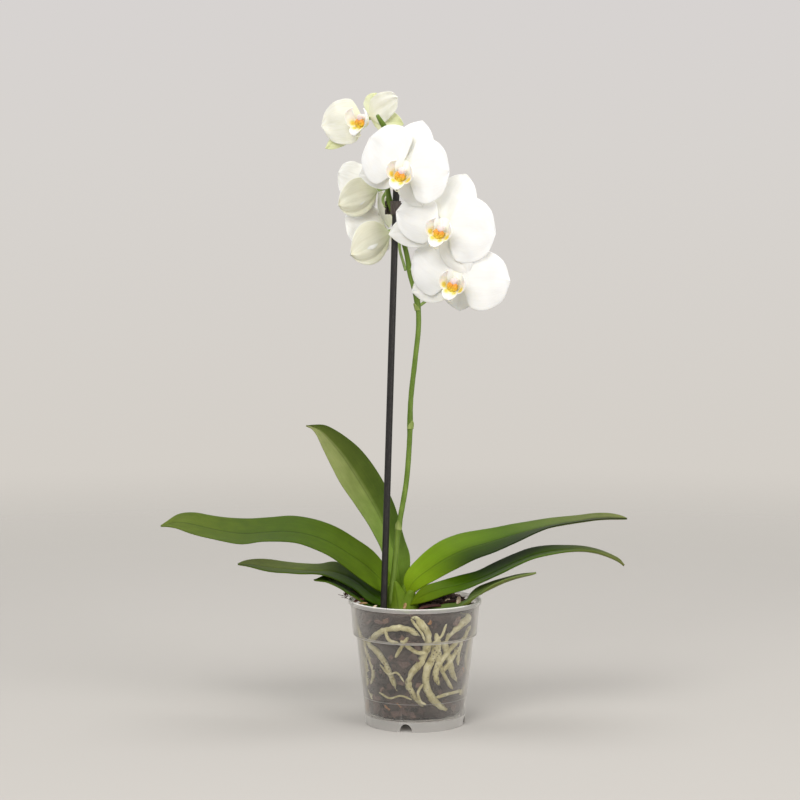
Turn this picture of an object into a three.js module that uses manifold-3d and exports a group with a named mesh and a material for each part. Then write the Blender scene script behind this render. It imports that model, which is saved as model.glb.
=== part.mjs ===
// A potted moth orchid: one flower spike tied to a stake, in a clear orchid pot.
// Millimetres, +Z up. The plant is laid out round the pot's axis, with the pot's foot on Z = 0 and
// the viewer of the flowers on the -Y side; the last lines move it so that the origin is the middle
// of the whole object, on the surface that it stands on.

import * as THREE from "three";
import { LoftGeometry } from "three/addons/geometries/LoftGeometry.js";
import { mergeVertices } from "three/addons/utils/BufferGeometryUtils.js";
import Module from "manifold-3d";

// Pot
const POT_HEIGHT = 113;
const RIM_RADIUS = 60;
const RIM_BAND = 3.6;
const STEP_HEIGHT = 80; // the stacking step in the wall
const STEP_RADIUS = 53;
const STEP_WIDTH = 3;
const RING_HEIGHT = 25; // the small lower ring
const FOOT_RADIUS = 45;
const WALL = 1;
const FLOOR_HEIGHT = 10;
const FOOT_RING_WIDTH = 1.8;
const NOTCHES = 4; // arches in the foot, the first one a little left of the front
const NOTCH_WIDTH = 11.5;
const NOTCH_HEIGHT = 7.5;
const NOTCH_TURN = -0.19;
const DRAIN_HOLES = 6;
const DRAIN_RADIUS = 4;
const DRAIN_CIRCLE = 28;
const POT_SIDES = 48;

// Fits
const GAP = 0.4; // between pieces that touch

// Stake, clip and spike
const STAKE_RADIUS = 3;
const SPIKE_RADIUS = 2.5;
const CLIP_HEIGHT = 12;
const CLIP_WALL = 1.3;
const CLIP_LEVEL = 465;

// Flowers
const TEPAL_THICKNESS = 0.9;
const TEPAL_BASE = 3.4; // from the flower's axis to a tepal's base
const SEPAL_BEHIND = 2.4; // sepals attach behind the petals
const COLUMN_LENGTH = 8;

const wasm = await Module();
wasm.setup();

const plant = new THREE.Group();

const finishes = {
  clearPlastic: { color: 0xcfd0ca, roughness: 0.15, metalness: 0, transparent: true, opacity: 0.35 },
  mix: { color: 0x4a3d2e, roughness: 0.95, metalness: 0 },
  root: { color: 0x9aa07a, roughness: 0.7, metalness: 0 },
  leaf: { color: 0x4f6b1c, roughness: 0.35, metalness: 0 },
  paleLeaf: { color: 0x75803f, roughness: 0.4, metalness: 0 },
  spike: { color: 0x6d7f45, roughness: 0.45, metalness: 0 },
  stake: { color: 0x2b2826, roughness: 0.45, metalness: 0 },
  clip: { color: 0x5a504c, roughness: 0.4, metalness: 0 },
  petal: { color: 0xfaf8f0, roughness: 0.55, metalness: 0 },
  sepal: { color: 0xf0eedb, roughness: 0.55, metalness: 0 },
  lip: { color: 0xe9c955, roughness: 0.5, metalness: 0 },
  column: { color: 0xf3ecd8, roughness: 0.5, metalness: 0 },
};

function part(name, geometry, finish, parent = plant) {
  const mesh = new THREE.Mesh(geometry, new THREE.MeshStandardMaterial(finishes[finish]));
  mesh.name = name;
  parent.add(mesh);
  return mesh;
}

const radians = THREE.MathUtils.degToRad;
const points = (list) => list.map(([x, y, z]) => new THREE.Vector3(x, y, z));
const curve = (list) => new THREE.CatmullRomCurve3(points(list), false, "centripetal");

// Booleans: a geometry as a solid, and a solid as a geometry.
function solid(geometry) {
  const bare = new THREE.BufferGeometry();
  bare.setAttribute("position", geometry.getAttribute("position"));
  if (geometry.index) bare.setIndex(geometry.index);
  const merged = mergeVertices(bare, 1e-4);
  const corners = merged.index.array;
  const triangles = [];
  for (let i = 0; i < corners.length; i += 3) {
    const [a, b, c] = [corners[i], corners[i + 1], corners[i + 2]];
    if (a !== b && b !== c && c !== a) triangles.push(a, b, c);
  }
  const vertProperties = merged.getAttribute("position").array;
  return new wasm.Manifold(
    new wasm.Mesh({ numProp: 3, vertProperties, triVerts: new Uint32Array(triangles) }),
  );
}

function geometryOf(body) {
  const { vertProperties, triVerts } = body.getMesh();
  const geometry = new THREE.BufferGeometry();
  geometry.setAttribute("position", new THREE.BufferAttribute(new Float32Array(vertProperties), 3));
  geometry.setIndex(new THREE.BufferAttribute(new Uint32Array(triVerts), 1));
  return geometry;
}

function turned(profile, sides) {
  const lathe = new THREE.LatheGeometry(
    profile.map(([r, z]) => new THREE.Vector2(r, z)),
    sides,
  );
  return lathe.rotateX(Math.PI / 2);
}

// A round stalk along a route, closed to a point at both ends. radius(t) is its radius along it.
function stalk(route, steps, sides, radius) {
  const frames = route.computeFrenetFrames(steps);
  const sections = [];
  for (let i = 0; i <= steps; i += 1) {
    const end = i === 0 || i === steps;
    const r = end ? 0 : radius(i / steps);
    const centre = route.getPointAt(i / steps);
    const ring = [];
    for (let j = 0; j < sides; j += 1) {
      const turn = (j / sides) * 2 * Math.PI;
      ring.push(
        centre
          .clone()
          .addScaledVector(frames.normals[i], r * Math.cos(turn))
          .addScaledVector(frames.binormals[i], r * Math.sin(turn)),
      );
    }
    sections.push(ring);
  }
  return new LoftGeometry(sections);
}

// ---------------------------------------------------------------- pot

// Outside radius of the pot's wall against height.
function wallRadius(z) {
  const stretches = [
    [0, FOOT_RADIUS, RING_HEIGHT, FOOT_RADIUS + 1.6],
    [RING_HEIGHT, FOOT_RADIUS + 2.1, STEP_HEIGHT, STEP_RADIUS],
    [STEP_HEIGHT + 1.5, STEP_RADIUS + STEP_WIDTH, POT_HEIGHT - RIM_BAND, RIM_RADIUS - 1.8],
  ];
  const [z0, r0, z1, r1] = stretches.find(([, , top]) => z <= top) ?? stretches[2];
  return r0 + ((r1 - r0) * (Math.max(z, z0) - z0)) / (z1 - z0);
}

function pot() {
  const rimInside = RIM_RADIUS - 1.8 - WALL;
  const outside = [
    [FOOT_RADIUS, 0],
    [wallRadius(RING_HEIGHT), RING_HEIGHT],
    [FOOT_RADIUS + 2.1, RING_HEIGHT + 0.6],
    [STEP_RADIUS, STEP_HEIGHT],
    [STEP_RADIUS + STEP_WIDTH, STEP_HEIGHT + 1.5],
    [RIM_RADIUS - 1.8, POT_HEIGHT - RIM_BAND - 0.4],
    [RIM_RADIUS, POT_HEIGHT - RIM_BAND],
    [RIM_RADIUS, POT_HEIGHT - 0.6],
    [RIM_RADIUS - 0.7, POT_HEIGHT],
  ];
  const inside = [
    [rimInside + 0.6, POT_HEIGHT],
    [rimInside, POT_HEIGHT - 0.8],
    [STEP_RADIUS + STEP_WIDTH - WALL, STEP_HEIGHT + 2.5],
    [STEP_RADIUS - WALL, STEP_HEIGHT + 1],
    [FOOT_RADIUS + 0.2, FLOOR_HEIGHT + 1],
    [FOOT_RADIUS - 0.8, FLOOR_HEIGHT],
    [0, FLOOR_HEIGHT],
  ];
  const under = [
    [0, FLOOR_HEIGHT - 1.2],
    [FOOT_RADIUS - FOOT_RING_WIDTH, FLOOR_HEIGHT - 1.2],
    [FOOT_RADIUS - FOOT_RING_WIDTH, 0],
    [FOOT_RADIUS, 0],
  ];
  let body = solid(turned([...under, ...outside.slice(1), ...inside], POT_SIDES));

  for (let i = 0; i < NOTCHES; i += 1) {
    const notch = new THREE.CylinderGeometry(NOTCH_WIDTH / 2, NOTCH_WIDTH / 2, 12, 20);
    notch.scale(1, 1, (2 * NOTCH_HEIGHT) / NOTCH_WIDTH);
    notch.translate(0, -FOOT_RADIUS, 0);
    notch.rotateZ(NOTCH_TURN + (i / NOTCHES) * 2 * Math.PI);
    body = body.subtract(solid(notch));
  }
  for (let i = 0; i <= DRAIN_HOLES; i += 1) {
    const hole = new THREE.CylinderGeometry(DRAIN_RADIUS, DRAIN_RADIUS, 6, 12);
    hole.rotateX(Math.PI / 2);
    const out = i < DRAIN_HOLES ? DRAIN_CIRCLE : 0;
    const turn = (i / DRAIN_HOLES) * 2 * Math.PI;
    hole.translate(out * Math.cos(turn), out * Math.sin(turn), FLOOR_HEIGHT - 1);
    body = body.subtract(solid(hole));
  }
  return geometryOf(body);
}

// ---------------------------------------------------------------- stem and roots

const STEM_LOW = 74;
const STEM_TOP = 116;
const STEM_RADIUS = 7;
const STEM = curve([
  [-10, -1, STEM_LOW],
  [-10, -2, 90],
  [-10, -3, 104],
  [-12, -6, STEM_TOP],
]);

// A root leaves the stem at height from, goes out to the wall and runs along it: [angle, height] on
// the wall, the angle in degrees from the front, positive to the right. by is a point on the way.
const WALL_ROOTS = [
  { from: 92, radius: 2.1, by: [-34, -4, 91], on: [[-56, 80], [-39, 89], [-25, 94], [-10, 95], [7, 87]] },
  { from: 84, radius: 2.2, by: [-33, -3, 82], on: [[-62, 76], [-47, 71], [-37, 62], [-27, 47], [-22, 36]] },
  { from: 98, radius: 2.9, on: [[4, 101], [13, 88], [9, 68], [-6, 51], [-8, 42], [2, 29], [14, 20]] },
  { from: 88, radius: 3.2, on: [[24, 86], [22, 71], [14, 58], [12, 44], [19, 32], [31, 23], [50, 15]] },
  { from: 96, radius: 2.7, on: [[66, 100], [44, 92], [33, 83], [40, 66], [47, 52], [62, 40]] },
  { from: 86, radius: 2.5, on: [[92, 78], [104, 60], [100, 42], [84, 31], [66, 27]] },
  { from: 90, radius: 3, on: [[140, 92], [158, 76], [150, 58], [162, 38], [182, 22], [204, 16]] },
  { from: 82, radius: 2.6, on: [[200, 84], [214, 68], [236, 60], [248, 44], [240, 28]] },
  { from: 94, radius: 2.4, on: [[272, 96], [262, 80], [276, 66], [290, 50], [284, 34], [300, 22]] },
];

function rootRoute({ from, radius, by, on }) {
  const start = STEM.getPointAt((from - STEM_LOW) / (STEM_TOP - STEM_LOW));
  const along = on.map(([degrees, z]) => {
    const turn = radians(degrees);
    const out = Math.min(wallRadius(z), wallRadius(z - radius - 3)) - WALL - radius - GAP - 1.2;
    return new THREE.Vector3(out * Math.sin(turn), -out * Math.cos(turn), z);
  });
  const inner = by ? new THREE.Vector3(...by) : start.clone().lerp(along[0], 0.45).setZ(start.z);
  return new THREE.CatmullRomCurve3([start, inner, ...along], false, "centripetal");
}

const tapering = (radius) => (t) => radius * (t < 0.85 ? 1 : 1 - 2.6 * (t - 0.85));

function stemAndRoots(spare) {
  const swollen = (t) => STEM_RADIUS * (0.75 + 0.45 * Math.sin(Math.PI * Math.min(t + 0.12, 1))) + spare;
  let body = solid(stalk(STEM, 6, 10, swollen));
  for (const root of WALL_ROOTS) {
    const steps = 3 * root.on.length + 1;
    body = body.add(solid(stalk(rootRoute(root), steps, 6, tapering(root.radius + spare))));
  }
  return body;
}

// ---------------------------------------------------------------- stake, mix, clip and spike

const STAKE_FOOT = new THREE.Vector3(-31, -20, 16);
const STAKE_HEAD = new THREE.Vector3(-16.4, -4.4, 497);
const STAKE_POINT = 8; // length of the tapered point

function stake(spare) {
  const length = STAKE_FOOT.distanceTo(STAKE_HEAD);
  const r = STAKE_RADIUS + spare;
  const shaft = [[r, STAKE_POINT], [r, length - 1], [r - 1, length]];
  const profile = [[0, 0], [0.4 * r, 0], ...shaft, [0, length]];
  const lean = new THREE.Quaternion().setFromUnitVectors(
    new THREE.Vector3(0, 0, 1),
    STAKE_HEAD.clone().sub(STAKE_FOOT).normalize(),
  );
  return turned(profile, 16).applyQuaternion(lean).translate(...STAKE_FOOT);
}

// The mix fills the pot round the roots and the stake. It is heaped up a little at the back right.
function pottingMix() {
  const heap = (x, y) => 4.5 * Math.exp(-((x - 20) ** 2 + (y - 26) ** 2) / 500);
  const unevenness = (x, y) => 0.8 * Math.sin(0.31 * x) * Math.cos(0.27 * y);
  const outline = [[0, FLOOR_HEIGHT + GAP]];
  for (const z of [FLOOR_HEIGHT + GAP, 24, 40, 60, STEP_HEIGHT, STEP_HEIGHT + 4, 100]) {
    outline.push([wallRadius(z) - WALL - GAP - 0.6, z]);
  }
  for (const r of [54, 41, 27, 13, 0]) outline.push([r, 102]);
  const body = turned(outline, 36);
  const place = body.getAttribute("position");
  for (let i = 0; i < place.count; i += 1) {
    const [x, y, z] = [place.getX(i), place.getY(i), place.getZ(i)];
    if (z > 101) place.setZ(i, 101.5 + heap(x, y) + unevenness(x, y));
  }
  return geometryOf(solid(body).subtract(stemAndRoots(GAP)).subtract(solid(stake(GAP))));
}

const SPIKE_ROUTE = curve([
  [-20.5, -6, 103.5],
  [-22, -8, 110],
  [-19, -8, 139],
  [-15, -7, 177],
  [-8, -5, 219],
  [-5, -4, 258],
  [-4, -3, 293],
  [0, -2, 330],
  [3, -1, 360],
  [2, 0, 380],
  [-4, 2, 404],
  [-8, 3, 425],
  [-14, 4.4, 446],
  [-21, 3.4, 464],
  [-24, 1.6, 478],
  [-25.5, -2, 503],
  [-25, -13, 530],
  [-33.5, -24, 546],
]);
const SPIKE_NODES = [177, 273, 380, 409, 469, 532]; // heights of the swollen nodes

function spike(spare) {
  const height = (t) => SPIKE_ROUTE.getPointAt(t).z;
  const swelling = (z) =>
    SPIKE_NODES.reduce((sum, node) => sum + 0.7 * Math.exp(-(((z - node) / 4) ** 2)), 0);
  const taper = (t) => SPIKE_RADIUS * (1 - 0.12 * t);
  return stalk(SPIKE_ROUTE, 60, 7, (t) => taper(t) + swelling(height(t)) + spare);
}

// A moulded clip that closes round spike and stake: a band open on its left side, which ends in two
// pairs of fingers, and a tapered thumb piece in front.
function clip() {
  const share = (CLIP_LEVEL - STAKE_FOOT.z) / (STAKE_HEAD.z - STAKE_FOOT.z);
  const onStake = STAKE_FOOT.clone().lerp(STAKE_HEAD, share);
  const onSpike = new THREE.Vector3(-22.4, 2.9, CLIP_LEVEL);
  const along = onSpike.clone().sub(onStake).setZ(0);
  const span = along.length();
  const stadium = (r, shape) => {
    shape.absarc(0, 0, r, Math.PI / 2, 1.5 * Math.PI);
    shape.absarc(span, 0, r, -Math.PI / 2, Math.PI / 2);
    return shape;
  };
  const outline = stadium(STAKE_RADIUS + GAP + CLIP_WALL, new THREE.Shape());
  outline.holes.push(stadium(STAKE_RADIUS - 0.2, new THREE.Path()));
  const options = { depth: CLIP_HEIGHT, bevelEnabled: false, curveSegments: 10 };
  const band = new THREE.ExtrudeGeometry(outline, options).translate(0, 0, -CLIP_HEIGHT / 2);
  const mouth = new THREE.BoxGeometry(span - 1, 6, CLIP_HEIGHT + 2).translate(span / 2 + 1, 5, 0);
  const between = new THREE.BoxGeometry(span, 6, 3.2).translate(span - 1, 5, 0);
  const thumb = new THREE.Shape(points([[-5, 4, 0], [5, 4, 0], [1.2, -14, 0], [-0.6, -14, 0]]));
  const plate = new THREE.ExtrudeGeometry(thumb, { depth: 1.5, bevelEnabled: false });
  plate.rotateX(Math.PI / 2).rotateZ(Math.PI / 2).translate(-STAKE_RADIUS - GAP - CLIP_WALL, 0, 0);

  let body = solid(band).subtract(solid(mouth)).subtract(solid(between)).add(solid(plate));
  body = body.rotate(0, 0, THREE.MathUtils.radToDeg(Math.atan2(along.y, along.x)));
  body = body.translate(onStake.x, onStake.y, onStake.z);
  return geometryOf(body.subtract(solid(stake(GAP))).subtract(solid(spike(GAP))));
}

// ---------------------------------------------------------------- leaves

const LEAF_STATIONS = 14;
const LEAF_SIDES = 12;
const LEAF_THICKNESS = 2.2;

// A leaf between its left and right margins, as its upper side is seen from its base. Both run
// from the base to the tip. keel is how far the midrib lies below the line between the margins.
function leaf(leftMargin, rightMargin, keel) {
  const left = curve(leftMargin);
  const right = curve(rightMargin);
  const sections = [];
  for (let i = 0; i <= LEAF_STATIONS; i += 1) {
    const t = 1 - (1 - i / LEAF_STATIONS) ** 1.25;
    const l = left.getPointAt(t);
    const r = right.getPointAt(t);
    const centre = l.clone().add(r).multiplyScalar(0.5);
    const half = l.clone().sub(r).multiplyScalar(0.5);
    const along = left.getTangentAt(t).add(right.getTangentAt(t));
    const up = along.cross(half).normalize();
    const fullness = Math.sin(Math.PI * Math.min(1, Math.max(0, t))) ** 0.5;
    const ring = [];
    for (let j = 0; j < LEAF_SIDES; j += 1) {
      const turn = (j / LEAF_SIDES) * 2 * Math.PI;
      const across = Math.cos(turn);
      const sag = keel * (1 - Math.abs(across) ** 1.6);
      const skin = (LEAF_THICKNESS / 2) * Math.sin(turn);
      ring.push(
        centre
          .clone()
          .addScaledVector(half, across)
          .addScaledVector(up, fullness * (skin - sag)),
      );
    }
    sections.push(ring);
  }
  return new LoftGeometry(sections);
}

const LEAVES = {
  leaf_left_upper: {
    keel: 3.5,
    left: [
      [-17, 0, 114], [-27, -8, 118], [-49, -17, 134], [-67, -22, 148], [-95, -28, 165],
      [-129, -35, 171], [-156, -36, 168], [-193, -32, 175], [-216, -20, 181], [-229, -9, 180],
    ],
    right: [
      [-17, 0, 114], [-28, 10, 145], [-48, 15, 161], [-67, 18, 174], [-104, 22, 185],
      [-146, 22, 183], [-175, 19, 185], [-210, 7, 190], [-229, -9, 180],
    ],
  },
  leaf_left_middle: {
    keel: 3,
    left: [
      [-20, -3, 108], [-38, -12, 110], [-52, -19, 123], [-66, -24, 132], [-83, -28, 139],
      [-106, -30, 141], [-129, -28, 142], [-149, -18, 145], [-160, -5, 145],
    ],
    right: [
      [-20, -3, 108], [-34, 8, 121], [-54, 15, 138], [-72, 18, 144], [-89, 20, 142],
      [-118, 20, 144], [-143, 12, 147], [-155, 3, 147], [-160, -5, 145],
    ],
  },
  leaf_left_lower: {
    keel: 2.5,
    left: [
      [-25, -8, 105], [-39, -15, 108], [-52, -22, 117], [-64, -27, 126], [-78, -27, 132],
      [-91, -18, 133],
    ],
    right: [
      [-25, -8, 105], [-36, -4, 109], [-52, -2, 120], [-66, -2, 129], [-79, -7, 135],
      [-91, -18, 133],
    ],
  },
  leaf_upright: {
    keel: 5,
    left: [
      [-12, 8, 116], [-24, 10, 134], [-30, 13, 155], [-45, 18, 181], [-67, 22, 214],
      [-82, 30, 242], [-93, 36, 263], [-100, 40, 266],
    ],
    right: [
      [-12, 8, 116], [-7, 11, 128], [-4, 15, 142], [-6, 22, 156], [-12, 28, 170], [-15, 33, 184],
      [-23, 40, 203], [-38, 45, 229], [-53, 46, 247], [-75, 44, 263], [-85, 42, 267], [-100, 40, 266],
    ],
  },
  leaf_right_upper: {
    keel: 3.5,
    left: [
      [-8, -3, 113], [-13, -1, 122], [-5, 5, 141], [6, 12, 151], [23, 18, 163], [47, 24, 170],
      [78, 28, 175], [110, 30, 180], [141, 30, 184], [166, 22, 188], [183, 13, 188], [192, 4, 185],
    ],
    right: [
      [-8, -3, 113], [-3, -8, 117], [3, -12, 123], [19, -18, 133], [37, -23, 143.5], [53, -27, 153],
      [75, -30, 162], [98, -30, 173], [122, -28, 182], [161, -14, 187], [183, -3, 186], [192, 4, 185],
    ],
  },
  leaf_right_middle: {
    keel: 3,
    left: [
      [-5, -15, 109], [-3, -15, 116], [5, -16, 125], [20, -19, 131.5], [38, -14, 136], [60, -4, 140],
      [77, 2, 148], [108, 2, 160], [151, -4, 162], [169, -10, 158], [184, -18, 151], [187, -22, 146],
    ],
    right: [
      [-5, -15, 109], [3, -22, 111], [14, -26, 116], [28, -30, 121.5], [45, -36, 127.5], [75, -46, 143],
      [105, -48, 157], [136, -46, 163], [160, -38, 161], [180, -27, 152], [187, -22, 146],
    ],
  },
  leaf_right_lower: {
    keel: 2.5,
    left: [
      [8, -20, 106], [24, -20, 111], [44, -23, 115], [54, -26, 126], [68, -29, 133],
      [91, -34, 141], [107, -46, 144],
    ],
    right: [
      [8, -20, 106], [24, -29, 107.5], [37, -34, 111], [48, -41, 119], [60, -48, 128],
      [75, -53, 137], [92, -53, 142], [107, -46, 144],
    ],
  },
};

// ---------------------------------------------------------------- flowers

// One tepal in its flower's frame: +Z is where the flower faces and +Y is up the flower. The spine
// leaves the axis at angle (clockwise from up), swept back by sweep and bending by bend (degrees).
const TEPAL_STATIONS = 7;
const TEPAL_SIDES = 10;

function tepal({ angle, length, width, behind, sweep, bend, camber, widest, blunt }) {
  const turn = radians(angle);
  const out = new THREE.Vector3(Math.sin(turn), Math.cos(turn), 0);
  const side = new THREE.Vector3(Math.cos(turn), -Math.sin(turn), 0);
  const front = new THREE.Vector3(0, 0, 1);
  const start = radians(sweep);
  const curl = radians(bend);
  const reach = length - TEPAL_BASE;
  const power = Math.log(0.5) / Math.log(widest);
  const sections = [];
  for (let i = 0; i <= TEPAL_STATIONS; i += 1) {
    const t = 1 - (1 - i / TEPAL_STATIONS) ** 1.2;
    const lean = start + curl * t;
    const r = TEPAL_BASE + (reach * (Math.sin(lean) - Math.sin(start))) / curl;
    const z = -behind + (reach * (Math.cos(lean) - Math.cos(start))) / curl;
    const half = (width / 2) * Math.abs(Math.sin(Math.PI * t ** power)) ** blunt;
    const centre = out.clone().multiplyScalar(r).addScaledVector(front, z);
    const normal = front.clone().multiplyScalar(Math.cos(lean)).addScaledVector(out, Math.sin(lean));
    const w = i === 0 || i === TEPAL_STATIONS ? 0 : half;
    const ring = [];
    for (let j = 0; j < TEPAL_SIDES; j += 1) {
      const around = (j / TEPAL_SIDES) * 2 * Math.PI;
      const across = Math.cos(around);
      const skin = w === 0 ? 0 : (TEPAL_THICKNESS / 2) * Math.sin(around);
      ring.push(
        centre
          .clone()
          .addScaledVector(side, w * across)
          .addScaledVector(normal, skin - camber * w * across * across),
      );
    }
    sections.push(ring.reverse());
  }
  return new LoftGeometry(sections);
}

// The lip: a scoop below the column, its side lobes turned up round it.
function lip() {
  const spine = curve([[0, -3, 0.9], [0, -6.5, 4], [0, -9, 9], [0, -13, 13], [0, -19, 13.5]]);
  const across = [0, 7, 11, 11.5, 9.5, 6.5, 5, 4, 0];
  const rise = [0, 3, 7, 7.5, 5, 2, 1, 0.5, 0];
  const sections = across.map((w, i) => {
    const t = i / (across.length - 1);
    const centre = spine.getPointAt(t);
    const along = spine.getTangentAt(t);
    const up = new THREE.Vector3(1, 0, 0).cross(along).normalize();
    const ring = [];
    for (let j = 0; j < TEPAL_SIDES; j += 1) {
      const around = (j / TEPAL_SIDES) * 2 * Math.PI;
      const c = Math.cos(around);
      const skin = w === 0 ? 0 : 0.5 * Math.sin(around);
      ring.push(
        centre
          .clone()
          .addScaledVector(new THREE.Vector3(1, 0, 0), w * c)
          .addScaledVector(up, -skin - rise[i] * c * c),
      );
    }
    return ring;
  });
  return new LoftGeometry(sections);
}

const PETAL = {
  length: 44, width: 53, behind: 0, sweep: 6, bend: 12, camber: 0.07, widest: 0.55, blunt: 0.5,
};
const SEPAL = {
  length: 43, width: 28, behind: SEPAL_BEHIND, sweep: 12, bend: 10, camber: 0.1, widest: 0.55,
  blunt: 0.72,
};

const TEPALS = {
  sepal_dorsal: { ...SEPAL, angle: 0, length: 46, width: 33 },
  sepal_left: { ...SEPAL, angle: -118 },
  sepal_right: { ...SEPAL, angle: 134 },
  petal_left: { ...PETAL, angle: -76 },
  petal_right: { ...PETAL, angle: 76 },
};

// Each flower: where its centre is, how far it is turned to the viewer's left and tipped down, the
// roll of its column and lip (clockwise), how far all its tepals are cupped forward, the points
// that its stalk leaves the spike by, and what differs in its tepals. Angles in degrees.
const FLOWERS = {
  top: {
    at: [-44, 14, 545], left: 38, down: 0, roll: 4, cup: 34,
    stalk: [[-21.5, -6, 527], [-23, 12, 533]],
    changes: {
      sepal_dorsal: { length: 24, width: 20, angle: 24, sweep: 30 },
      sepal_left: { angle: -124, length: 50, width: 17, sweep: 16 },
      sepal_right: { angle: 99, length: 40, width: 19, sweep: 32 },
      petal_left: { angle: -100, width: 38, length: 43 },
      petal_right: { angle: 65, length: 41, width: 24, sweep: 26 },
    },
  },
  front_upper: {
    at: [-10, -46, 498], left: 16, down: 6, roll: 20, cup: 0,
    stalk: [[-21.5, -4.5, 500], [-14, -20, 503]],
    changes: {
      sepal_dorsal: { angle: 18 },
      sepal_left: { angle: -97, length: 48 },
      sepal_right: { angle: 160, length: 37 },
      petal_left: { angle: -50 },
      petal_right: { angle: 93, length: 40 },
    },
  },
  front_middle: {
    at: [24, -36, 448], left: 16, down: 6, roll: 20, cup: 0,
    stalk: [[-2, -2, 412], [14, -8, 436]],
    changes: {
      sepal_dorsal: { angle: 22, length: 51, width: 36 },
      sepal_left: { angle: -98, length: 54, sweep: 4 },
      sepal_right: { angle: 155, length: 47, sweep: 2 },
      petal_left: { angle: -73, width: 38, length: 46, sweep: 0 },
      petal_right: { angle: 97, length: 47, width: 55 },
    },
  },
  front_lower: {
    at: [36, -27, 401.5], left: 16, down: 6, roll: 18, cup: 0,
    stalk: [[6, 2, 379], [24, 6, 392]],
    changes: {
      sepal_dorsal: { angle: 20, sweep: 20 },
      sepal_left: { angle: -106, length: 47, sweep: 6 },
      sepal_right: { angle: 184, length: 34, sweep: 24 },
      petal_left: { angle: -60, length: 49, width: 50, sweep: 9 },
      petal_right: { angle: 92, length: 48, width: 50 },
    },
  },
  back_upper: {
    at: [-36, 15, 481], left: 110, down: 4, roll: 0, cup: 44,
    stalk: [[-27.5, 5.5, 468], [-29, 10, 473]],
    changes: {
      sepal_dorsal: { length: 40, sweep: 36 },
      sepal_left: { angle: -132, length: 33, width: 22, sweep: 26 },
      sepal_right: { angle: 108, length: 48, width: 33, sweep: 3, behind: 4.0, camber: -0.08 },
      petal_left: { angle: -70, length: 38, width: 38, sweep: -6, camber: -0.05 },
      petal_right: { angle: 54, length: 39, width: 42, sweep: -9, camber: -0.12 },
    },
  },
  back_lower: {
    at: [-25, 18, 443], left: 110, down: 10, roll: 0, cup: 44,
    stalk: [[-9.5, 7.5, 412], [-14, 14, 429]],
    changes: {
      sepal_dorsal: { length: 38, sweep: 34 },
      sepal_left: { angle: -132, length: 38, width: 24, sweep: 26 },
      sepal_right: { angle: 112, length: 51, width: 37, sweep: 3, behind: 4.4, camber: -0.08 },
      petal_left: { angle: -78, length: 34, width: 34, sweep: -3, camber: -0.05 },
      petal_right: { angle: 52, length: 43, width: 46, sweep: -9, camber: -0.12 },
    },
  },
};

function flower(name, { at, left, down, roll, cup, stalk: route, changes }) {
  const facing = new THREE.Vector3(
    -Math.sin(radians(left)) * Math.cos(radians(down)),
    -Math.cos(radians(left)) * Math.cos(radians(down)),
    -Math.sin(radians(down)),
  );
  const right = new THREE.Vector3(0, 0, 1).cross(facing).normalize();
  const up = facing.clone().cross(right);
  const whole = new THREE.Group();
  whole.quaternion.setFromRotationMatrix(new THREE.Matrix4().makeBasis(right, up, facing));
  whole.position.set(...at);
  plant.add(whole);

  for (const [tepalName, usual] of Object.entries(TEPALS)) {
    const shape = { ...usual, ...changes[tepalName] };
    const finish = tepalName.startsWith("petal") ? "petal" : "sepal";
    part(`${name}_${tepalName}`, tepal({ ...shape, sweep: shape.sweep - cup }), finish, whole);
  }
  part(`${name}_lip`, lip(), "lip", whole).rotateZ(-radians(roll));

  // The stalk comes from the spike, turns into the flower's axis and ends in the column.
  whole.updateMatrixWorld(true);
  const fromSpike = points(route).map((p) => whole.worldToLocal(p).toArray());
  const stalkRoute = curve([...fromSpike, [0, 0, -12], [0, 0, -4], [0, 0, 1], [0, 0, COLUMN_LENGTH]]);
  const length = stalkRoute.getLength();
  const width = (t) => ((1 - t) * length < COLUMN_LENGTH - 1 ? 2.6 : 1.5);
  part(`${name}_column`, stalk(stalkRoute, Math.round(length / 4), 6, width), "column", whole);
}

// ---------------------------------------------------------------- the whole object

part("pot", pot(), "clearPlastic");
part("stem_and_roots", geometryOf(stemAndRoots(0)), "root");

part("potting_mix", pottingMix(), "mix");
part("stake", stake(0), "stake");
part("spike_clip", clip(), "clip");
part("flower_spike", spike(0), "spike");
for (const [name, { left, right, keel }] of Object.entries(LEAVES)) {
  part(name, leaf(left, right, keel), name === "leaf_upright" ? "paleLeaf" : "leaf");
}
for (const [name, shape] of Object.entries(FLOWERS)) flower(name, shape);

// The origin is the middle of the object's footprint, on the surface it stands on.
const orchid = new THREE.Group();
orchid.add(plant);
plant.updateMatrixWorld(true);
const middle = new THREE.Box3().setFromObject(plant, true).getCenter(new THREE.Vector3());
plant.position.set(-middle.x, -middle.y, 0);

export default orchid;
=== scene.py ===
# %% [markdown]
# # A potted moth orchid
# A Phalaenopsis in flower, in a clear orchid pot. The fixed frame, made of plain faceted solids, says
# where every leaf, tepal and stalk is. This lesson gives each of them its real surface: thin petals,
# leathery leaves, a lip with its lobes and callus, and the roots and bark behind the pot's clear wall.
# Everything is in metres, with +Z up; lengths that are easier to read in millimetres are times MM.

# %% Load the frame
import math
import random

import bmesh
import bpy
from mathutils import Matrix, Vector, noise
from mathutils.bvhtree import BVHTree


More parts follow.
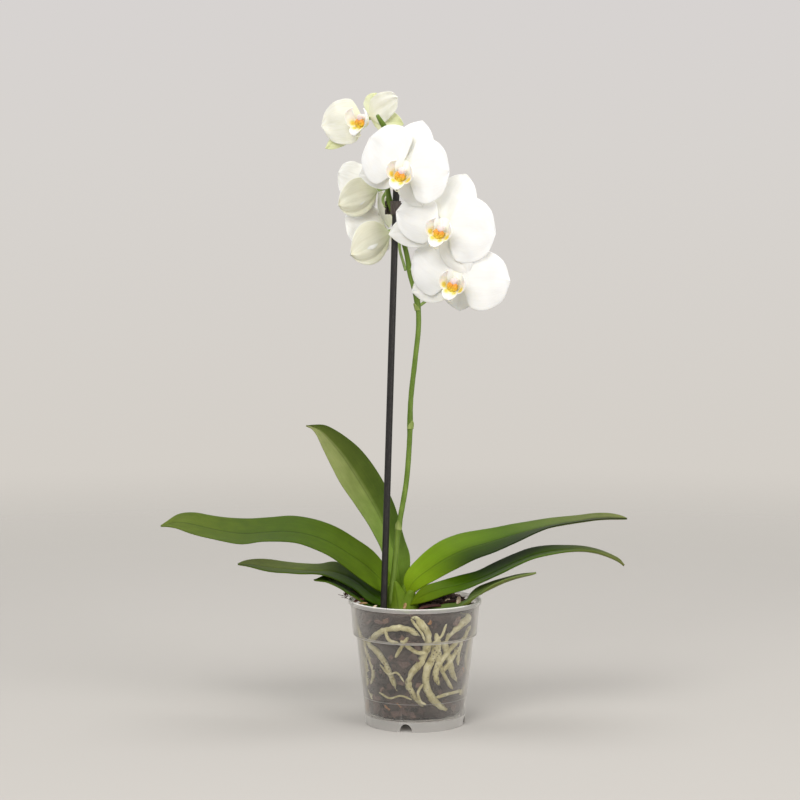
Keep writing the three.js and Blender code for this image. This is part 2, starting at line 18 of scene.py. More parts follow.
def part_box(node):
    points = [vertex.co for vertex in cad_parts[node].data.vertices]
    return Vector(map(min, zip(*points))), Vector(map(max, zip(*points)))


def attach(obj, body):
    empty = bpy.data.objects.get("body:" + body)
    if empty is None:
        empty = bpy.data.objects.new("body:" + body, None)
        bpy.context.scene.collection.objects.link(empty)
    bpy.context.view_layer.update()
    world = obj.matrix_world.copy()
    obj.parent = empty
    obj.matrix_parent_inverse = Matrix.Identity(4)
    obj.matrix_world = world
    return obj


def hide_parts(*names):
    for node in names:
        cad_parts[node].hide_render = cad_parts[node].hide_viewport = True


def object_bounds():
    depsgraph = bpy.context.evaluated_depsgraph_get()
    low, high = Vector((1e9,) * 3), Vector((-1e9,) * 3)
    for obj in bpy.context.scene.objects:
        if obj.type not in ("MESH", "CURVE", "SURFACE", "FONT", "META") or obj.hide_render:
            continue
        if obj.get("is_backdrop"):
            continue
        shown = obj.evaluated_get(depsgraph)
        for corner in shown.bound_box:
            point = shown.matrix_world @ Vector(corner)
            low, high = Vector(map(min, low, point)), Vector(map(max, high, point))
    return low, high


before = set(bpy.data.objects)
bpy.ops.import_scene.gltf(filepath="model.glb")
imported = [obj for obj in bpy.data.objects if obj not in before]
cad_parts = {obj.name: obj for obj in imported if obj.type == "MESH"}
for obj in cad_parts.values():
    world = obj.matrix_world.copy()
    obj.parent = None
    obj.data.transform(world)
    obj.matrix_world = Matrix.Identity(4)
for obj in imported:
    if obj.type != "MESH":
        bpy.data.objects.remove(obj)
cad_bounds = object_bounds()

MM = 0.001
FULL_TURN = 2 * math.pi
scene = bpy.context.scene
pot_low, pot_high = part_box("pot")
pot_axis = Vector(((pot_low.x + pot_high.x) / 2, (pot_low.y + pot_high.y) / 2, 0))
rim_radius = (pot_high.x - pot_low.x) / 2
print("frame nodes", len(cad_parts), "pot rim radius mm", round(rim_radius / MM, 1))

# %% [markdown]
# ## Camera
# A long lens from about two metres away, a little above the flowers' lowest bloom and looking slightly
# down, keeps the pot's rim and foot almost straight and shows the leaves nearly edge on.

# %% Camera
lens_data = bpy.data.cameras.new("portrait_lens")
lens_data.lens = 110.8
lens_data.sensor_width = 36
camera = bpy.data.objects.new("portrait_camera", lens_data)
scene.collection.objects.link(camera)
camera.location = pot_axis + Vector((-0.0136, -2.2, 0.485))
aim = pot_axis + Vector((-0.0136, 0, 0.293))
camera.rotation_euler = (aim - camera.location).to_track_quat("-Z", "Y").to_euler()
scene.camera = camera
print("camera distance m", round((aim - camera.location).length, 3))

# %% [markdown]
# ## Colours and shader nodes
# Colours are read off as sRGB hex values and turned to linear ones by one function. One more function
# adds a shader node with its settings and its links, so that a material reads from top to bottom.

# %% Colour and node helpers
def linear(code, alpha=1.0):
    channels = [int(code[i : i + 2], 16) / 255 for i in (0, 2, 4)]
    return [c / 12.92 if c <= 0.04045 else ((c + 0.055) / 1.055) ** 2.4 for c in channels] + [alpha]


def add(tree, kind, settings=None, links=None):
    """A shader node; a setting is a socket's value, a property, or stops: a ramp's colours.

    A link comes from a socket, or from a node, which stands for its first output.
    """
    made = tree.nodes.new("ShaderNode" + kind)
    for name, value in (settings or {}).items():
        if name == "stops":
            ramp = made.color_ramp
            while len(ramp.elements) < len(value):
                ramp.elements.new(0.5)
            for element, (place, code) in zip(ramp.elements, value):
                element.position = place
                element.color = linear(code)
        elif isinstance(name, int) or name in made.inputs:
            made.inputs[name].default_value = value
        else:
            setattr(made, name, value)
    for name, source in (links or {}).items():
        socket = source.outputs[0] if isinstance(source, bpy.types.Node) else source
        tree.links.new(socket, made.inputs[name])
    return made


def new_material(name):
    made = bpy.data.materials.new(name)
    made.use_nodes = True
    made.node_tree.nodes.clear()
    return made, made.node_tree


# %% [markdown]
# ## Studio
# A pale floor that fades into the backdrop's light grey, so there is no horizon, and three soft boxes:
# a large one above and to the left, a weaker one to the right and a wide one overhead.

# %% Floor
FLOOR_RADIUS = 2.3
floor_finish, tree = new_material("pale_paper_floor")
place = add(tree, "TexCoord").outputs["Object"]
flat = add(tree, "Mapping", {"Scale": (0.45, 0.45, 0)}, {"Vector": place})
reach = add(tree, "VectorMath", {"operation": "LENGTH"}, {"Vector": flat})
fade = add(tree, "MapRange", {"From Min": 0.3, "From Max": 0.95, "interpolation_type": "SMOOTHSTEP"},
           {"Value": reach.outputs["Value"]})
paper = add(tree, "BsdfDiffuse", {"Color": linear("bdbab6"), "Roughness": 0.6})
gone = add(tree, "BsdfTransparent")
both = add(tree, "MixShader", None, {0: fade, 1: paper, 2: gone})
add(tree, "OutputMaterial", None, {"Surface": both})

bm = bmesh.new()
bmesh.ops.create_circle(bm, cap_ends=True, segments=96, radius=FLOOR_RADIUS)
mesh = bpy.data.meshes.new("floor")
bm.to_mesh(mesh)
bm.free()
mesh.materials.append(floor_finish)
floor = bpy.data.objects.new("floor", mesh)
scene.collection.objects.link(floor)
floor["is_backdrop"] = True
print("floor radius m", FLOOR_RADIUS)

# %% Backdrop and soft boxes
world = bpy.data.worlds.new("studio")
scene.world = world
world.use_nodes = True
tree = world.node_tree
tree.nodes.clear()
place = add(tree, "TexCoord").outputs["Generated"]
heights = add(tree, "SeparateXYZ", None, {0: place})
rise = add(tree, "MapRange", {"From Min": -0.25, "From Max": 0.1}, {"Value": heights.outputs["Z"]})
wall = add(tree, "ValToRGB", {"stops": [(0, "cbc7be"), (0.4, "d4cfc8"), (0.75, "d7d3cf"), (1, "d7d3d2")]},
           {"Fac": rise})
seen = add(tree, "Background", {"Strength": 1.0}, {"Color": wall})
glow = add(tree, "Background", {"Color": linear("f6f5f3"), "Strength": 0.58})
path = add(tree, "LightPath")
both = add(tree, "MixShader", None, {0: path, 1: glow, 2: seen})
add(tree, "OutputWorld", None, {"Surface": both})

scene.view_settings.view_transform = "Standard"


def soft_box(name, place, power, size, colour):
    light = bpy.data.lights.new(name, "AREA")
    light.shape = "RECTANGLE"
    light.size, light.size_y = size
    light.energy = power
    light.color = linear(colour)[:3]
    made = bpy.data.objects.new(name, light)
    scene.collection.objects.link(made)
    made.location = place
    made.rotation_euler = (Vector((0, 0, 0.3)) - made.location).to_track_quat("-Z", "Y").to_euler()
    return made


soft_box("key_box", Vector((-0.7, -2.0, 1.8)), 32, (1.3, 1.2), "fffdfa")
soft_box("fill_box", Vector((1.6, -1.6, 1.0)), 17, (1.2, 1.4), "fffbf8")
soft_box("top_box", Vector((0.1, 0.3, 2.2)), 20, (1.8, 1.4), "fbfaf8")
print("soft boxes", 3)

# %% [markdown]
# ## From frame to fine surface
# Each leaf and tepal of the frame is a loft: rings of points from its base to its tip, closed to a point
# at both ends. Merging a copy's loose triangles brings the rings back. Each ring's two farthest points
# are on the blade's margins, and halfway between its upper and lower skin lies the blade's middle. A
# smooth curve through those rows of points gives a place for every corner of a much finer grid.

# %% Rings of a lofted solid
def rings_of(node, start):
    """The rings of a lofted node as closed loops of points, from the end that is nearer to start."""
    bm = bmesh.new()
    bm.from_mesh(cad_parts[node].data)
    bmesh.ops.remove_doubles(bm, verts=bm.verts, dist=1e-6)
    ends = [v for v in bm.verts if all(len(e.other_vert(v).link_edges) == 5 for e in v.link_edges)]
    first = min(ends, key=lambda v: (v.co - start).length)
    rings, seen, level = [[first.co.copy()]], {first}, {first}
    while len(seen) < len(bm.verts):
        level = {e.other_vert(v) for v in level for e in v.link_edges} - seen
        seen |= level
        here = min(level, key=lambda v: v.index)
        loop, left = [here.co.copy()], level - {here}
        while left:
            here = next(e.other_vert(here) for e in here.link_edges if e.other_vert(here) in left)
            loop.append(here.co.copy())
            left.discard(here)
        rings.append(loop)
    bm.free()
    return rings


def middle(points):
    return sum(points, Vector()) / len(points)


def spline(points, t):
    """The point at t, from 0 to 1, of a smooth curve through points."""
    s = min(max(t, 0), 1) * (len(points) - 1)
    i = min(int(s), len(points) - 2)
    f = s - i
    b, c = points[i], points[i + 1]
    a = points[i - 1] if i else b + (b - c)
    d = points[i + 2] if i + 2 < len(points) else c + (c - b)
    square, cube = 2 * a - 5 * b + 4 * c - d, 3 * b - a - 3 * c + d
    return 0.5 * (2 * b + (c - a) * f + square * f * f + cube * f**3)


# %% Net of a blade
def blade_net(node, start, facing):
    """Rows of points across a blade, each from its left margin to its right one, from base to tip."""
    rings = rings_of(node, start)
    half = len(rings[1]) // 2
    rows, last_left = [], None
    for ring in rings[1:-1]:
        i = max(range(half), key=lambda k: (ring[k] - ring[k + half]).length)
        ring = ring[i:] + ring[:i]
        if last_left and (ring[0] - last_left).length > (ring[half] - last_left).length:
            ring = ring[half:] + ring[:half]
        last_left = ring[0]
        rows.append([ring[0]] + [(ring[k] + ring[-k]) / 2 for k in range(1, half)] + [ring[half]])
    k = len(rows) // 2
    along = rows[k + 1][half // 2] - rows[k - 1][half // 2]
    if along.cross(rows[k][0] - rows[k][-1]).dot(facing) < 0:
        rows = [row[::-1] for row in rows]
    base, tip = rings[0][0], rings[-1][0]
    return [[base] * (half + 1)] + rows + [[tip] * (half + 1)]


def surface(rows, steps_along, steps_across):
    """place(i, j): the point of step i along and step j across the blade, in even real steps."""
    lengths = [0]
    for a, b in zip(rows, rows[1:]):
        lengths.append(lengths[-1] + (middle(b) - middle(a)).length)
    stations = []
    for i in range(steps_along + 1):
        want = lengths[-1] * i / steps_along
        k = max(n for n in range(len(rows) - 1) if lengths[n] <= want + 1e-9)
        stations.append((k + (want - lengths[k]) / (lengths[k + 1] - lengths[k])) / (len(rows) - 1))
    columns = []
    for j in range(steps_across + 1):
        turn = math.acos(1 - 2 * j / steps_across) / math.pi
        side = [spline(row, turn) for row in rows]
        columns.append([spline(side, s) for s in stations])
    return lambda i, j: columns[j][i], lengths[-1]


# %% [markdown]
# ## Pieces
# A piece starts as a bmesh. The first function makes a thin sheet from a grid whose corners are laid on
# a surface, with a UV map that runs along (U) and across (V) the sheet, and weights that say how thick
# it is. The second turns a bmesh into an object that rides on the plant's body.

# %% Sheets
def sheet_bmesh(place, steps_along, steps_across, facing, relief=None, thickness=None):
    bm = bmesh.new()
    uv = bm.loops.layers.uv.new("blade")
    bmesh.ops.create_grid(bm, x_segments=steps_along, y_segments=steps_across, size=0.5)
    weights = bm.verts.layers.deform.verify()
    spots = {}
    for vert in bm.verts:
        spots[vert] = (vert.co.x + 0.5, vert.co.y + 0.5)
        vert[weights][0] = thickness(*spots[vert]) if thickness else 1.0
    for face in bm.faces:
        for loop in face.loops:
            loop[uv].uv = spots[loop.vert]
    for vert in bm.verts:
        u, v = spots[vert]
        vert.co = place(round(u * steps_along), round(v * steps_across))
    bm.normal_update()
    if sum((f.normal * f.calc_area() for f in bm.faces), Vector()).dot(facing) < 0:
        bmesh.ops.reverse_faces(bm, faces=bm.faces)
        bm.normal_update()
    if relief:
        moves = [(vert, vert.normal * relief(*spots[vert])) for vert in bm.verts]
        for vert, move in moves:
            vert.co += move
    bmesh.ops.remove_doubles(bm, verts=bm.verts, dist=0.02 * MM)
    return bm


print("sheet helper ready")

# %% Finished pieces
def evaluated_mesh(made):
    """A new mesh of what an object's modifiers or a curve's bevel make of it."""
    bpy.context.view_layer.update()
    return bpy.data.meshes.new_from_object(made.evaluated_get(bpy.context.evaluated_depsgraph_get()))


def piece(name, bm, finishes, replaces=(), smooth=True):
    bm.normal_update()
    mesh = bpy.data.meshes.new(name)
    bm.to_mesh(mesh)
    bm.free()
    for finish in finishes:
        mesh.materials.append(finish)
    if smooth:
        mesh.shade_smooth()
    made = bpy.data.objects.new(name, mesh)
    scene.collection.objects.link(made)
    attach(made, "root")
    if replaces:
        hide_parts(*replaces)
    return made


def thicken(made, thickness, levels=1, thin=0.3):
    """Gives a sheet its thickness, thinner where its weights are lower, and rounds it."""
    made.vertex_groups.new(name="thickness")
    wall = made.modifiers.new("wall", "SOLIDIFY")
    wall.thickness = thickness
    wall.offset = 0
    wall.vertex_group = "thickness"
    wall.thickness_vertex_group = thin
    wall.material_offset = 1 if len(made.data.materials) > 1 else 0
    if levels:
        smooth = made.modifiers.new("smooth", "SUBSURF")
        smooth.levels = smooth.render_levels = levels
    return made


print("piece helpers ready")

# %% Round stalks
def tube_bmesh(runs, sides=8):
    """Round stalks in one bmesh: each run is a list of (point, radius), closed at both ends."""
    data = bpy.data.curves.new("stalk", "CURVE")
    data.dimensions = "3D"
    data.bevel_depth = 1.0
    data.bevel_resolution = max(0, sides // 2 - 2)
    data.use_fill_caps = True
    for run in runs:
        strand = data.splines.new("POLY")
        strand.points.add(len(run) - 1)
        for spot, (point, radius) in zip(strand.points, run):
            spot.co = (*point, 1)
            spot.radius = radius
    holder = bpy.data.objects.new("stalk", data)
    scene.collection.objects.link(holder)
    mesh = evaluated_mesh(holder)
    bm = bmesh.new()
    bm.from_mesh(mesh)
    bmesh.ops.remove_doubles(bm, verts=bm.verts, dist=0.001 * MM)
    bmesh.ops.recalc_face_normals(bm, faces=bm.faces)
    bpy.data.objects.remove(holder)
    bpy.data.curves.remove(data)
    bpy.data.meshes.remove(mesh)
    return bm


print("stalk helper ready")

# %% [markdown]
# ## Leaves
# An orchid's leaf is a thick leathery blade with a waxy skin. It is folded along a sunken midrib, faint
# veins run along it, and its upper side is a deep green that turns yellower near the base. The skin is
# one shader with a soft gloss; its mottling and veins come from noise in real millimetres and from the
# blade's own UV map. The underside is a paler, duller green.

# %% Leaf finishes
PLAIN = [(0, "ffffff"), (1, "ffffff")]


def leaf_skin(name, along, dull=0.0, under=False, across=PLAIN):
    """Waxy leaf skin: along lists its colours from base to tip, across the painted shade that darkens one
    half of the blade.
    """
    made, tree = new_material(name)
    uv = add(tree, "UVMap", {"uv_map": "blade"})
    axes = add(tree, "SeparateXYZ", None, {0: uv})
    place = add(tree, "TexCoord").outputs["Object"]
    # patches of lighter and darker green about 12 mm across
    patches = add(tree, "TexNoise", {"Scale": 85.0, "Detail": 5.0, "Roughness": 0.6}, {"Vector": place})
    # pores and dust, drawn at 0.8 mm so that they still show
    pores = add(tree, "TexNoise", {"Scale": 1200.0, "Detail": 2.0}, {"Vector": place})
    drift = add(tree, "MapRange", {"To Min": -0.09, "To Max": 0.09}, {"Value": patches})
    run = add(tree, "Math", {"operation": "ADD"}, {0: axes.outputs["X"], 1: drift})
    green = add(tree, "ValToRGB", {"stops": along}, {"Fac": run})
    # veins run the length of the blade, about 1.5 mm apart
    stretch = add(tree, "Mapping", {"Scale": (1.4, 34.0, 1.0)}, {"Vector": uv})
    veins = add(tree, "TexNoise", {"Scale": 1.0, "Detail": 3.0, "Roughness": 0.55}, {"Vector": stretch})
    streak = add(tree, "ValToRGB", {"stops": [(0.3, "b9b9b9"), (0.7, "ffffff")]}, {"Fac": veins})
    veined = add(tree, "Mix", {"data_type": "RGBA", "blend_type": "MULTIPLY", 0: 0.35},
                 {6: green, 7: streak})
    blotch = add(tree, "ValToRGB", {"stops": [(0.3, "c4c9b0"), (0.62, "ffffff")]}, {"Fac": patches})
    toned = add(tree, "Mix", {"data_type": "RGBA", "blend_type": "MULTIPLY", 0: 0.4},
                {6: veined.outputs[2], 7: blotch})
    # painted shade: one half of the blade is darker than the other, where it turns away from the light, from
    # a little way past its base
    sides = add(tree, "ValToRGB", {"stops": across}, {"Fac": axes.outputs["Y"]})
    onset = add(tree, "MapRange", {"From Min": 0.1, "From Max": 0.34, "interpolation_type": "SMOOTHSTEP"},
                {"Value": axes.outputs["X"]})
    side_shaded = add(tree, "Mix", {"data_type": "RGBA", "blend_type": "MULTIPLY"},
                {0: onset, 6: toned.outputs[2], 7: sides})
    # the midrib is a darker line down the middle, 1.5 mm wide on a 40 mm blade
    off = add(tree, "Math", {"operation": "SUBTRACT", 1: 0.5}, {0: axes.outputs["Y"]})
    far = add(tree, "Math", {"operation": "ABSOLUTE"}, {0: off})
    rib = add(tree, "MapRange", {"From Min": 0.008, "From Max": 0.035, "To Min": 0.35, "To Max": 0.0},
              {"Value": far})
    line = linear("8f9a5e" if under else "6f7d3a")
    ribbed = add(tree, "Mix", {"data_type": "RGBA", "blend_type": "MULTIPLY", 7: line},
                 {0: rib, 6: side_shaded.outputs[2]})
    gloss = add(tree, "MapRange", {"To Min": 0.4 + dull, "To Max": 0.56 + dull}, {"Value": patches})
    ridges = add(tree, "Math", {"operation": "MULTIPLY_ADD", 1: 0.8}, {0: veins, 2: pores})
    bump = add(tree, "Bump", {"Strength": 0.16, "Distance": 0.4 * MM}, {"Height": ridges})
    skin = add(tree, "BsdfPrincipled",
               {"Specular IOR Level": 0.1, "Subsurface Weight": 0.08, "Subsurface Radius": (0.4, 1.0, 0.15),
                "Subsurface Scale": 1.5 * MM},
               {"Base Color": ribbed.outputs[2], "Roughness": gloss, "Normal": bump})
    add(tree, "OutputMaterial", None, {"Surface": skin})
    return made


UNDERSIDE = leaf_skin("leaf_underside", [(0, "7f8d3a"), (0.5, "75842f"), (1, "828b48")],
                      0.12, under=True)
LEAF_SKINS = {
    "leaf_left_upper": [(0, "6a8a10"), (0.18, "50680c"), (0.55, "465e0e"), (0.85, "57691c"), (1, "66752a")],
    # painted shade: the left middle leaf is darkest at its base, where the upper left leaf lies over it
    "leaf_left_middle": [(0, "42640c"), (0.3, "42600c"), (0.6, "869a3c"), (1, "929f54")],
    "leaf_left_lower": [(0, "42640a"), (0.5, "36520a"), (1, "4e6a1a")],
    "leaf_upright": [(0, "70921a"), (0.25, "7a9640"), (0.6, "8b9856"), (0.93, "959c64"), (1, "8c8664")],
    "leaf_right_upper": [(0, "88a61a"), (0.22, "6c8c12"), (0.5, "527010"), (0.8, "657236"), (1, "7a8048")],
    "leaf_right_middle": [(0, "6c840a"), (0.22, "4c6a0c"), (0.4, "36520a"), (0.65, "4e6a18"),
                          (1, "787c42")],
    "leaf_right_lower": [(0, "66803a"), (0.5, "6c8040"), (1, "7b8a50")],
}
# painted shade: on these blades one half is darker than the other, where it turns away from the light
PAINTED_SIDE_SHADE = {
    "leaf_upright": [(0.2, "ffffff"), (0.5, "f4f6ee"), (0.6, "9aa86c"), (1, "84955a")],
    "leaf_right_upper": [(0.35, "ffffff"), (0.6, "9ba45c"), (1, "68742a")],
    "leaf_left_middle": [(0, "93a656"), (0.35, "bccb86"), (0.6, "ffffff")],
    "leaf_right_middle": [(0.35, "dfe6cc"), (0.6, "ffffff")],
}
print("leaf finishes", len(LEAF_SKINS) + 1)

# %% Leaf shapes
crown = pot_axis + Vector((-10, -4, 112)) * MM
LEAF_STEPS = (72, 24)


def leaf_relief(seed, wave):
    """How far the skin stands off the smooth blade: the midrib's groove, and the waves of its margins."""
    def relief(u, v):
        side = abs(2 * v - 1)
        groove = -0.9 * math.exp(-((side / 0.07) ** 2)) * (1 - u) ** 0.3
        ripple = noise.noise(Vector((u * 7, seed, side * 0.6 + (v > 0.5) * 3))) * wave * side**2
        swell = noise.noise(Vector((u * 3.1, v * 2.2, seed))) * 0.7
        return (groove + ripple + swell) * math.sin(math.pi * min(max(u, 0), 1)) ** 0.5 * MM

    return relief


def leaf_thickness(u, v):
    side = abs(2 * v - 1)
    return (1 - 0.72 * side**3) * (1 - 0.55 * u**2)


for number, (name, along) in enumerate(LEAF_SKINS.items()):
    upright = name == "leaf_upright"
    facing = Vector((0.2, -1, 0.3)) if upright else Vector((0, 0, 1))
    rows = blade_net(name, crown, facing)
    place, length = surface(rows, *LEAF_STEPS)
    bm = sheet_bmesh(place, *LEAF_STEPS, facing, leaf_relief(3.7 * number, 1.3), leaf_thickness)
    skin = leaf_skin("waxy_" + name, along, 0.08 if upright else 0.0, across=PAINTED_SIDE_SHADE.get(name, PLAIN))
    made = piece(name + "_blade", bm, [skin, UNDERSIDE], [name])
    thicken(made, 2.6 * MM)
    print(name, "length mm", round(length / MM), "faces", len(made.data.polygons))

# %% [markdown]
# ## Petals and sepals
# The petals are thin, white and slightly translucent, with a velvety surface and veins that fan out from
# the narrow base; the sepals lie behind them, a little greener at the base and on the back. Each flower's
# own frame comes from its column: the column's tip and last ring give the way the flower faces, and the
# lip's tip shows which way is down.

# %% Petal finishes
def petal_skin(name, along, vein, warmth):
    """Thin velvety petal; vein is the colour of the fan of veins and warmth how strongly it shows."""
    made, tree = new_material(name)
    uv = add(tree, "UVMap", {"uv_map": "blade"})
    axes = add(tree, "SeparateXYZ", None, {0: uv})
    place = add(tree, "TexCoord").outputs["Object"]
    white = add(tree, "ValToRGB", {"stops": along}, {"Fac": axes.outputs["X"]})
    # veins about 1.6 mm apart at the widest place, branching a little
    stretch = add(tree, "Mapping", {"Scale": (3.0, 26.0, 1.0)}, {"Vector": uv})
    veins = add(tree, "TexNoise", {"Scale": 1.0, "Detail": 2.0, "Distortion": 0.4}, {"Vector": stretch})
    lines = add(tree, "MapRange", {"From Min": 0.42, "From Max": 0.62, "To Min": 0.0, "To Max": warmth},
                {"Value": veins})
    tinted = add(tree, "Mix", {"data_type": "RGBA", 7: linear(vein)}, {0: lines, 6: white})
    # velvet cells, drawn at 0.7 mm so that they still show
    cells = add(tree, "TexNoise", {"Scale": 1400.0, "Detail": 1.0}, {"Vector": place})
    folds = add(tree, "TexNoise", {"Scale": 90.0, "Detail": 2.0}, {"Vector": place})
    low = add(tree, "Math", {"operation": "MULTIPLY_ADD", 1: 0.12}, {0: cells, 2: veins})
    high = add(tree, "Math", {"operation": "MULTIPLY_ADD", 1: 1.6}, {0: folds, 2: low})
    bump = add(tree, "Bump", {"Strength": 0.22, "Distance": 0.5 * MM}, {"Height": high})
    skin = add(tree, "BsdfPrincipled",
               {"Roughness": 0.55, "Specular IOR Level": 0.3, "Sheen Weight": 0.15, "Sheen Roughness": 0.5,
                "Subsurface Weight": 0.35, "Subsurface Radius": (1.0, 0.9, 0.75),
                "Subsurface Scale": 1.6 * MM},
               {"Base Color": tinted.outputs[2], "Normal": bump})
    add(tree, "OutputMaterial", None, {"Surface": skin})
    return made


PETAL_FACE = petal_skin("velvet_petal_face", [(0, "f4f5e2"), (0.12, "fcfcf7"), (1, "fefefd")],
                        "f6f4ef", 0.3)
PETAL_BACK = petal_skin("petal_back", [(0, "e4e8ca"), (0.25, "f1f0ea"), (1, "f5f4f0")], "e0ded5", 0.4)
SEPAL_FACE = petal_skin("sepal_face", [(0, "ecf0d0"), (0.15, "f9f8f0"), (1, "fbfbf7")], "f1efe4", 0.3)
SEPAL_BACK = petal_skin("sepal_back", [(0, "dbe1b6"), (0.3, "e9e7d2"), (0.9, "edecda"), (1, "d8d4b4")],
                        "dad8c0", 0.4)
YOUNG_SEPAL = petal_skin("young_sepal", [(0, "eaf0c8"), (0.4, "f1f3d6"), (1, "e2e8ae")], "dfe4b0", 0.35)
YOUNG_PETAL = petal_skin("young_petal", [(0, "e6e9c4"), (0.3, "efeee0"), (1, "f0eee4")], "e4e3cc", 0.45)
print("petal finishes 6")

# %% Flower frames
FLOWERS = ["top", "front_upper", "front_middle", "front_lower", "back_upper", "back_lower"]
COLUMN_LENGTH = 8 * MM


def flower_frame(name):
    """The flower's centre, and a matrix from its own millimetres (X right, Y up, Z forward) to the scene."""
    low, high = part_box(name + "_lip")
    stalk = rings_of(name + "_column", (low + high) / 2)
    tip = stalk[0][0]
    forward = (tip - middle(stalk[1])).normalized()
    centre = tip - forward * COLUMN_LENGTH
    lip_tip = rings_of(name + "_lip", centre)[-1][0]
    down = lip_tip - centre
    up = -(down - forward * down.dot(forward)).normalized()
    right = up.cross(forward)
    turn = Matrix((right, up, forward)).transposed().to_4x4()
    return centre, Matrix.Translation(centre) @ turn @ Matrix.Scale(MM, 4), stalk


blooms = {name: flower_frame(name) for name in FLOWERS}
for name, (centre, turn, stalk) in blooms.items():
    print(name, "centre mm", [round(c / MM) for c in centre], "stalk rings", len(stalk))

# %% Petals and sepals
TEPAL_STEPS = (30, 30)
TEPALS = ["sepal_dorsal", "sepal_left", "sepal_right", "petal_left", "petal_right"]


def tepal_relief(seed, ruffle, fold, crease=0.0, pleats=0.0):
    """Relief of a thin sheet; crease folds it along its lower margin, pleats are ridges that fan out."""
    def relief(u, v):
        side = 2 * v - 1
        furrow = -fold * math.exp(-((side / 0.16) ** 2)) * (1 - u) ** 0.5
        outer = 0.25 + 0.75 * max(abs(side), u) ** 2
        waves = noise.noise(Vector((u * 4.2, side * 1.6, seed))) * ruffle * outer
        folded = math.exp(-(((v - 0.8 - 0.12 * u) / 0.05) ** 2))
        folded -= 0.6 * math.exp(-(((v - 0.66) / 0.08) ** 2))
        ridges = pleats * math.cos(16 * v + 0.8) * math.sin(math.pi * v) * u
        return (furrow + waves + crease * folded + ridges) * min(1, 3 * u) * MM

    return relief


def tepal_thickness(u, v):
    return (1 - 0.6 * abs(2 * v - 1) ** 3) * (1 - 0.5 * u**3)


for number, name in enumerate(FLOWERS):
    centre, turn, stalk = blooms[name]
    facing = turn.to_3x3() @ Vector((0, 0, 1))
    for order, part in enumerate(TEPALS):
        node = f"{name}_{part}"
        petal = part.startswith("petal")
        rows = blade_net(node, centre, facing)
        for k, row in enumerate(rows):
            core, wide = middle(row), 1 + 0.5 * math.exp(-((k / len(rows) / 0.28) ** 2))
            rows[k] = [core + (point - core) * wide for point in row]
        place, length = surface(rows, *TEPAL_STEPS)
        crease = 1.5 if name.startswith("back") and part == "sepal_right" else 0.0
        pleats = 1.1 if (name, part) == ("top", "petal_right") else 0.0
        ruffle, fold = (1.7, 0.5) if petal else (1.2, 0.9)
        relief = tepal_relief(number * 7.3 + order * 1.9, ruffle, fold, crease, pleats)
        bm = sheet_bmesh(place, *TEPAL_STEPS, facing, relief, tepal_thickness)
        finishes = [PETAL_FACE, PETAL_BACK] if petal else [SEPAL_FACE, SEPAL_BACK]
        if name == "top":
            finishes = [YOUNG_PETAL if petal else YOUNG_SEPAL] * 2
        made = piece(node + "_blade", bm, finishes, [node])
        thicken(made, 0.9 * MM)
    print(name, "tepals 5, last length mm", round(length / MM, 1))

# %% [markdown]
# ## Pot
# The pot is blown from clear polypropylene, slightly milky, with a rolled rim, a step that lets pots
# stack and a lower ring. A cut through the frame's pot gives its profile; its corners are rounded and it
# is spun round the axis, which is how a turned shape is made smooth. Then the foot's notches are cut.

# %% Clear plastic
clear_plastic, tree = new_material("clear_polypropylene")
place = add(tree, "TexCoord").outputs["Object"]
cloud = add(tree, "TexNoise", {"Scale": 28.0, "Detail": 3.0}, {"Vector": place})
milk = add(tree, "MapRange", {"From Min": 0.3, "From Max": 0.7, "To Min": 0.02, "To Max": 0.055},
           {"Value": cloud})
# the wall is cloudier seen along its face; painted light: extra milky haze on the rolled rim, on the foot
# below the mix and on flat faces such as the step and ring makes them show as light lines
edge = add(tree, "LayerWeight", {"Blend": 0.2}).outputs["Facing"]
along = add(tree, "Math", {"operation": "POWER", 1: 1.6}, {0: edge})
steep = add(tree, "Math", {"operation": "MULTIPLY_ADD", 1: 1.1}, {0: along, 2: milk})
low = add(tree, "SeparateXYZ", None, {0: place})
foot_painted_light = add(tree, "MapRange", {"From Min": 9.4 * MM, "From Max": 8.6 * MM, "To Max": 0.32},
            {"Value": low.outputs["Z"]})
rim_painted_light = add(tree, "MapRange", {"From Min": 108.9 * MM, "From Max": 109.3 * MM, "To Max": 0.24},
           {"Value": low.outputs["Z"]})
ends = add(tree, "Math", {"operation": "ADD"}, {0: rim_painted_light, 1: foot_painted_light})
footed = add(tree, "Math", {"operation": "ADD"}, {0: steep, 1: ends})
bare = add(tree, "NewGeometry")
tilt = add(tree, "SeparateXYZ", None, {0: bare.outputs["Normal"]})
flat = add(tree, "Math", {"operation": "ABSOLUTE"}, {0: tilt.outputs["Z"]})
flat_face_painted_light = add(tree, "MapRange", {"From Min": 0.3, "From Max": 0.8, "To Max": 0.5}, {"Value": flat})
milk_and_painted_light = add(tree, "Math", {"operation": "ADD", "use_clamp": True}, {0: footed, 1: flat_face_painted_light})
haze = add(tree, "BsdfDiffuse", {"Color": linear("edebe8")})
shine = add(tree, "BsdfGlossy", {"Color": linear("ffffff"), "Roughness": 0.3})
through = add(tree, "BsdfTransparent", {"Color": linear("fbfaf8")})
gloss = add(tree, "Math", {"operation": "MULTIPLY_ADD", 1: 0.3, 2: 0.02}, {0: along})
film = add(tree, "MixShader", None, {0: milk_and_painted_light, 1: through, 2: haze})
wall = add(tree, "MixShader", None, {0: gloss, 1: film, 2: shine})
add(tree, "OutputMaterial", None, {"Surface": wall})
print("clear plastic ready")

# %% Pot profile and spin
NOTCHES = 4
NOTCH_WIDTH = 11.5 * MM
NOTCH_HEIGHT = 7.5 * MM
NOTCH_TURN = math.radians(-10.8)
FOOT_RADIUS = 44 * MM


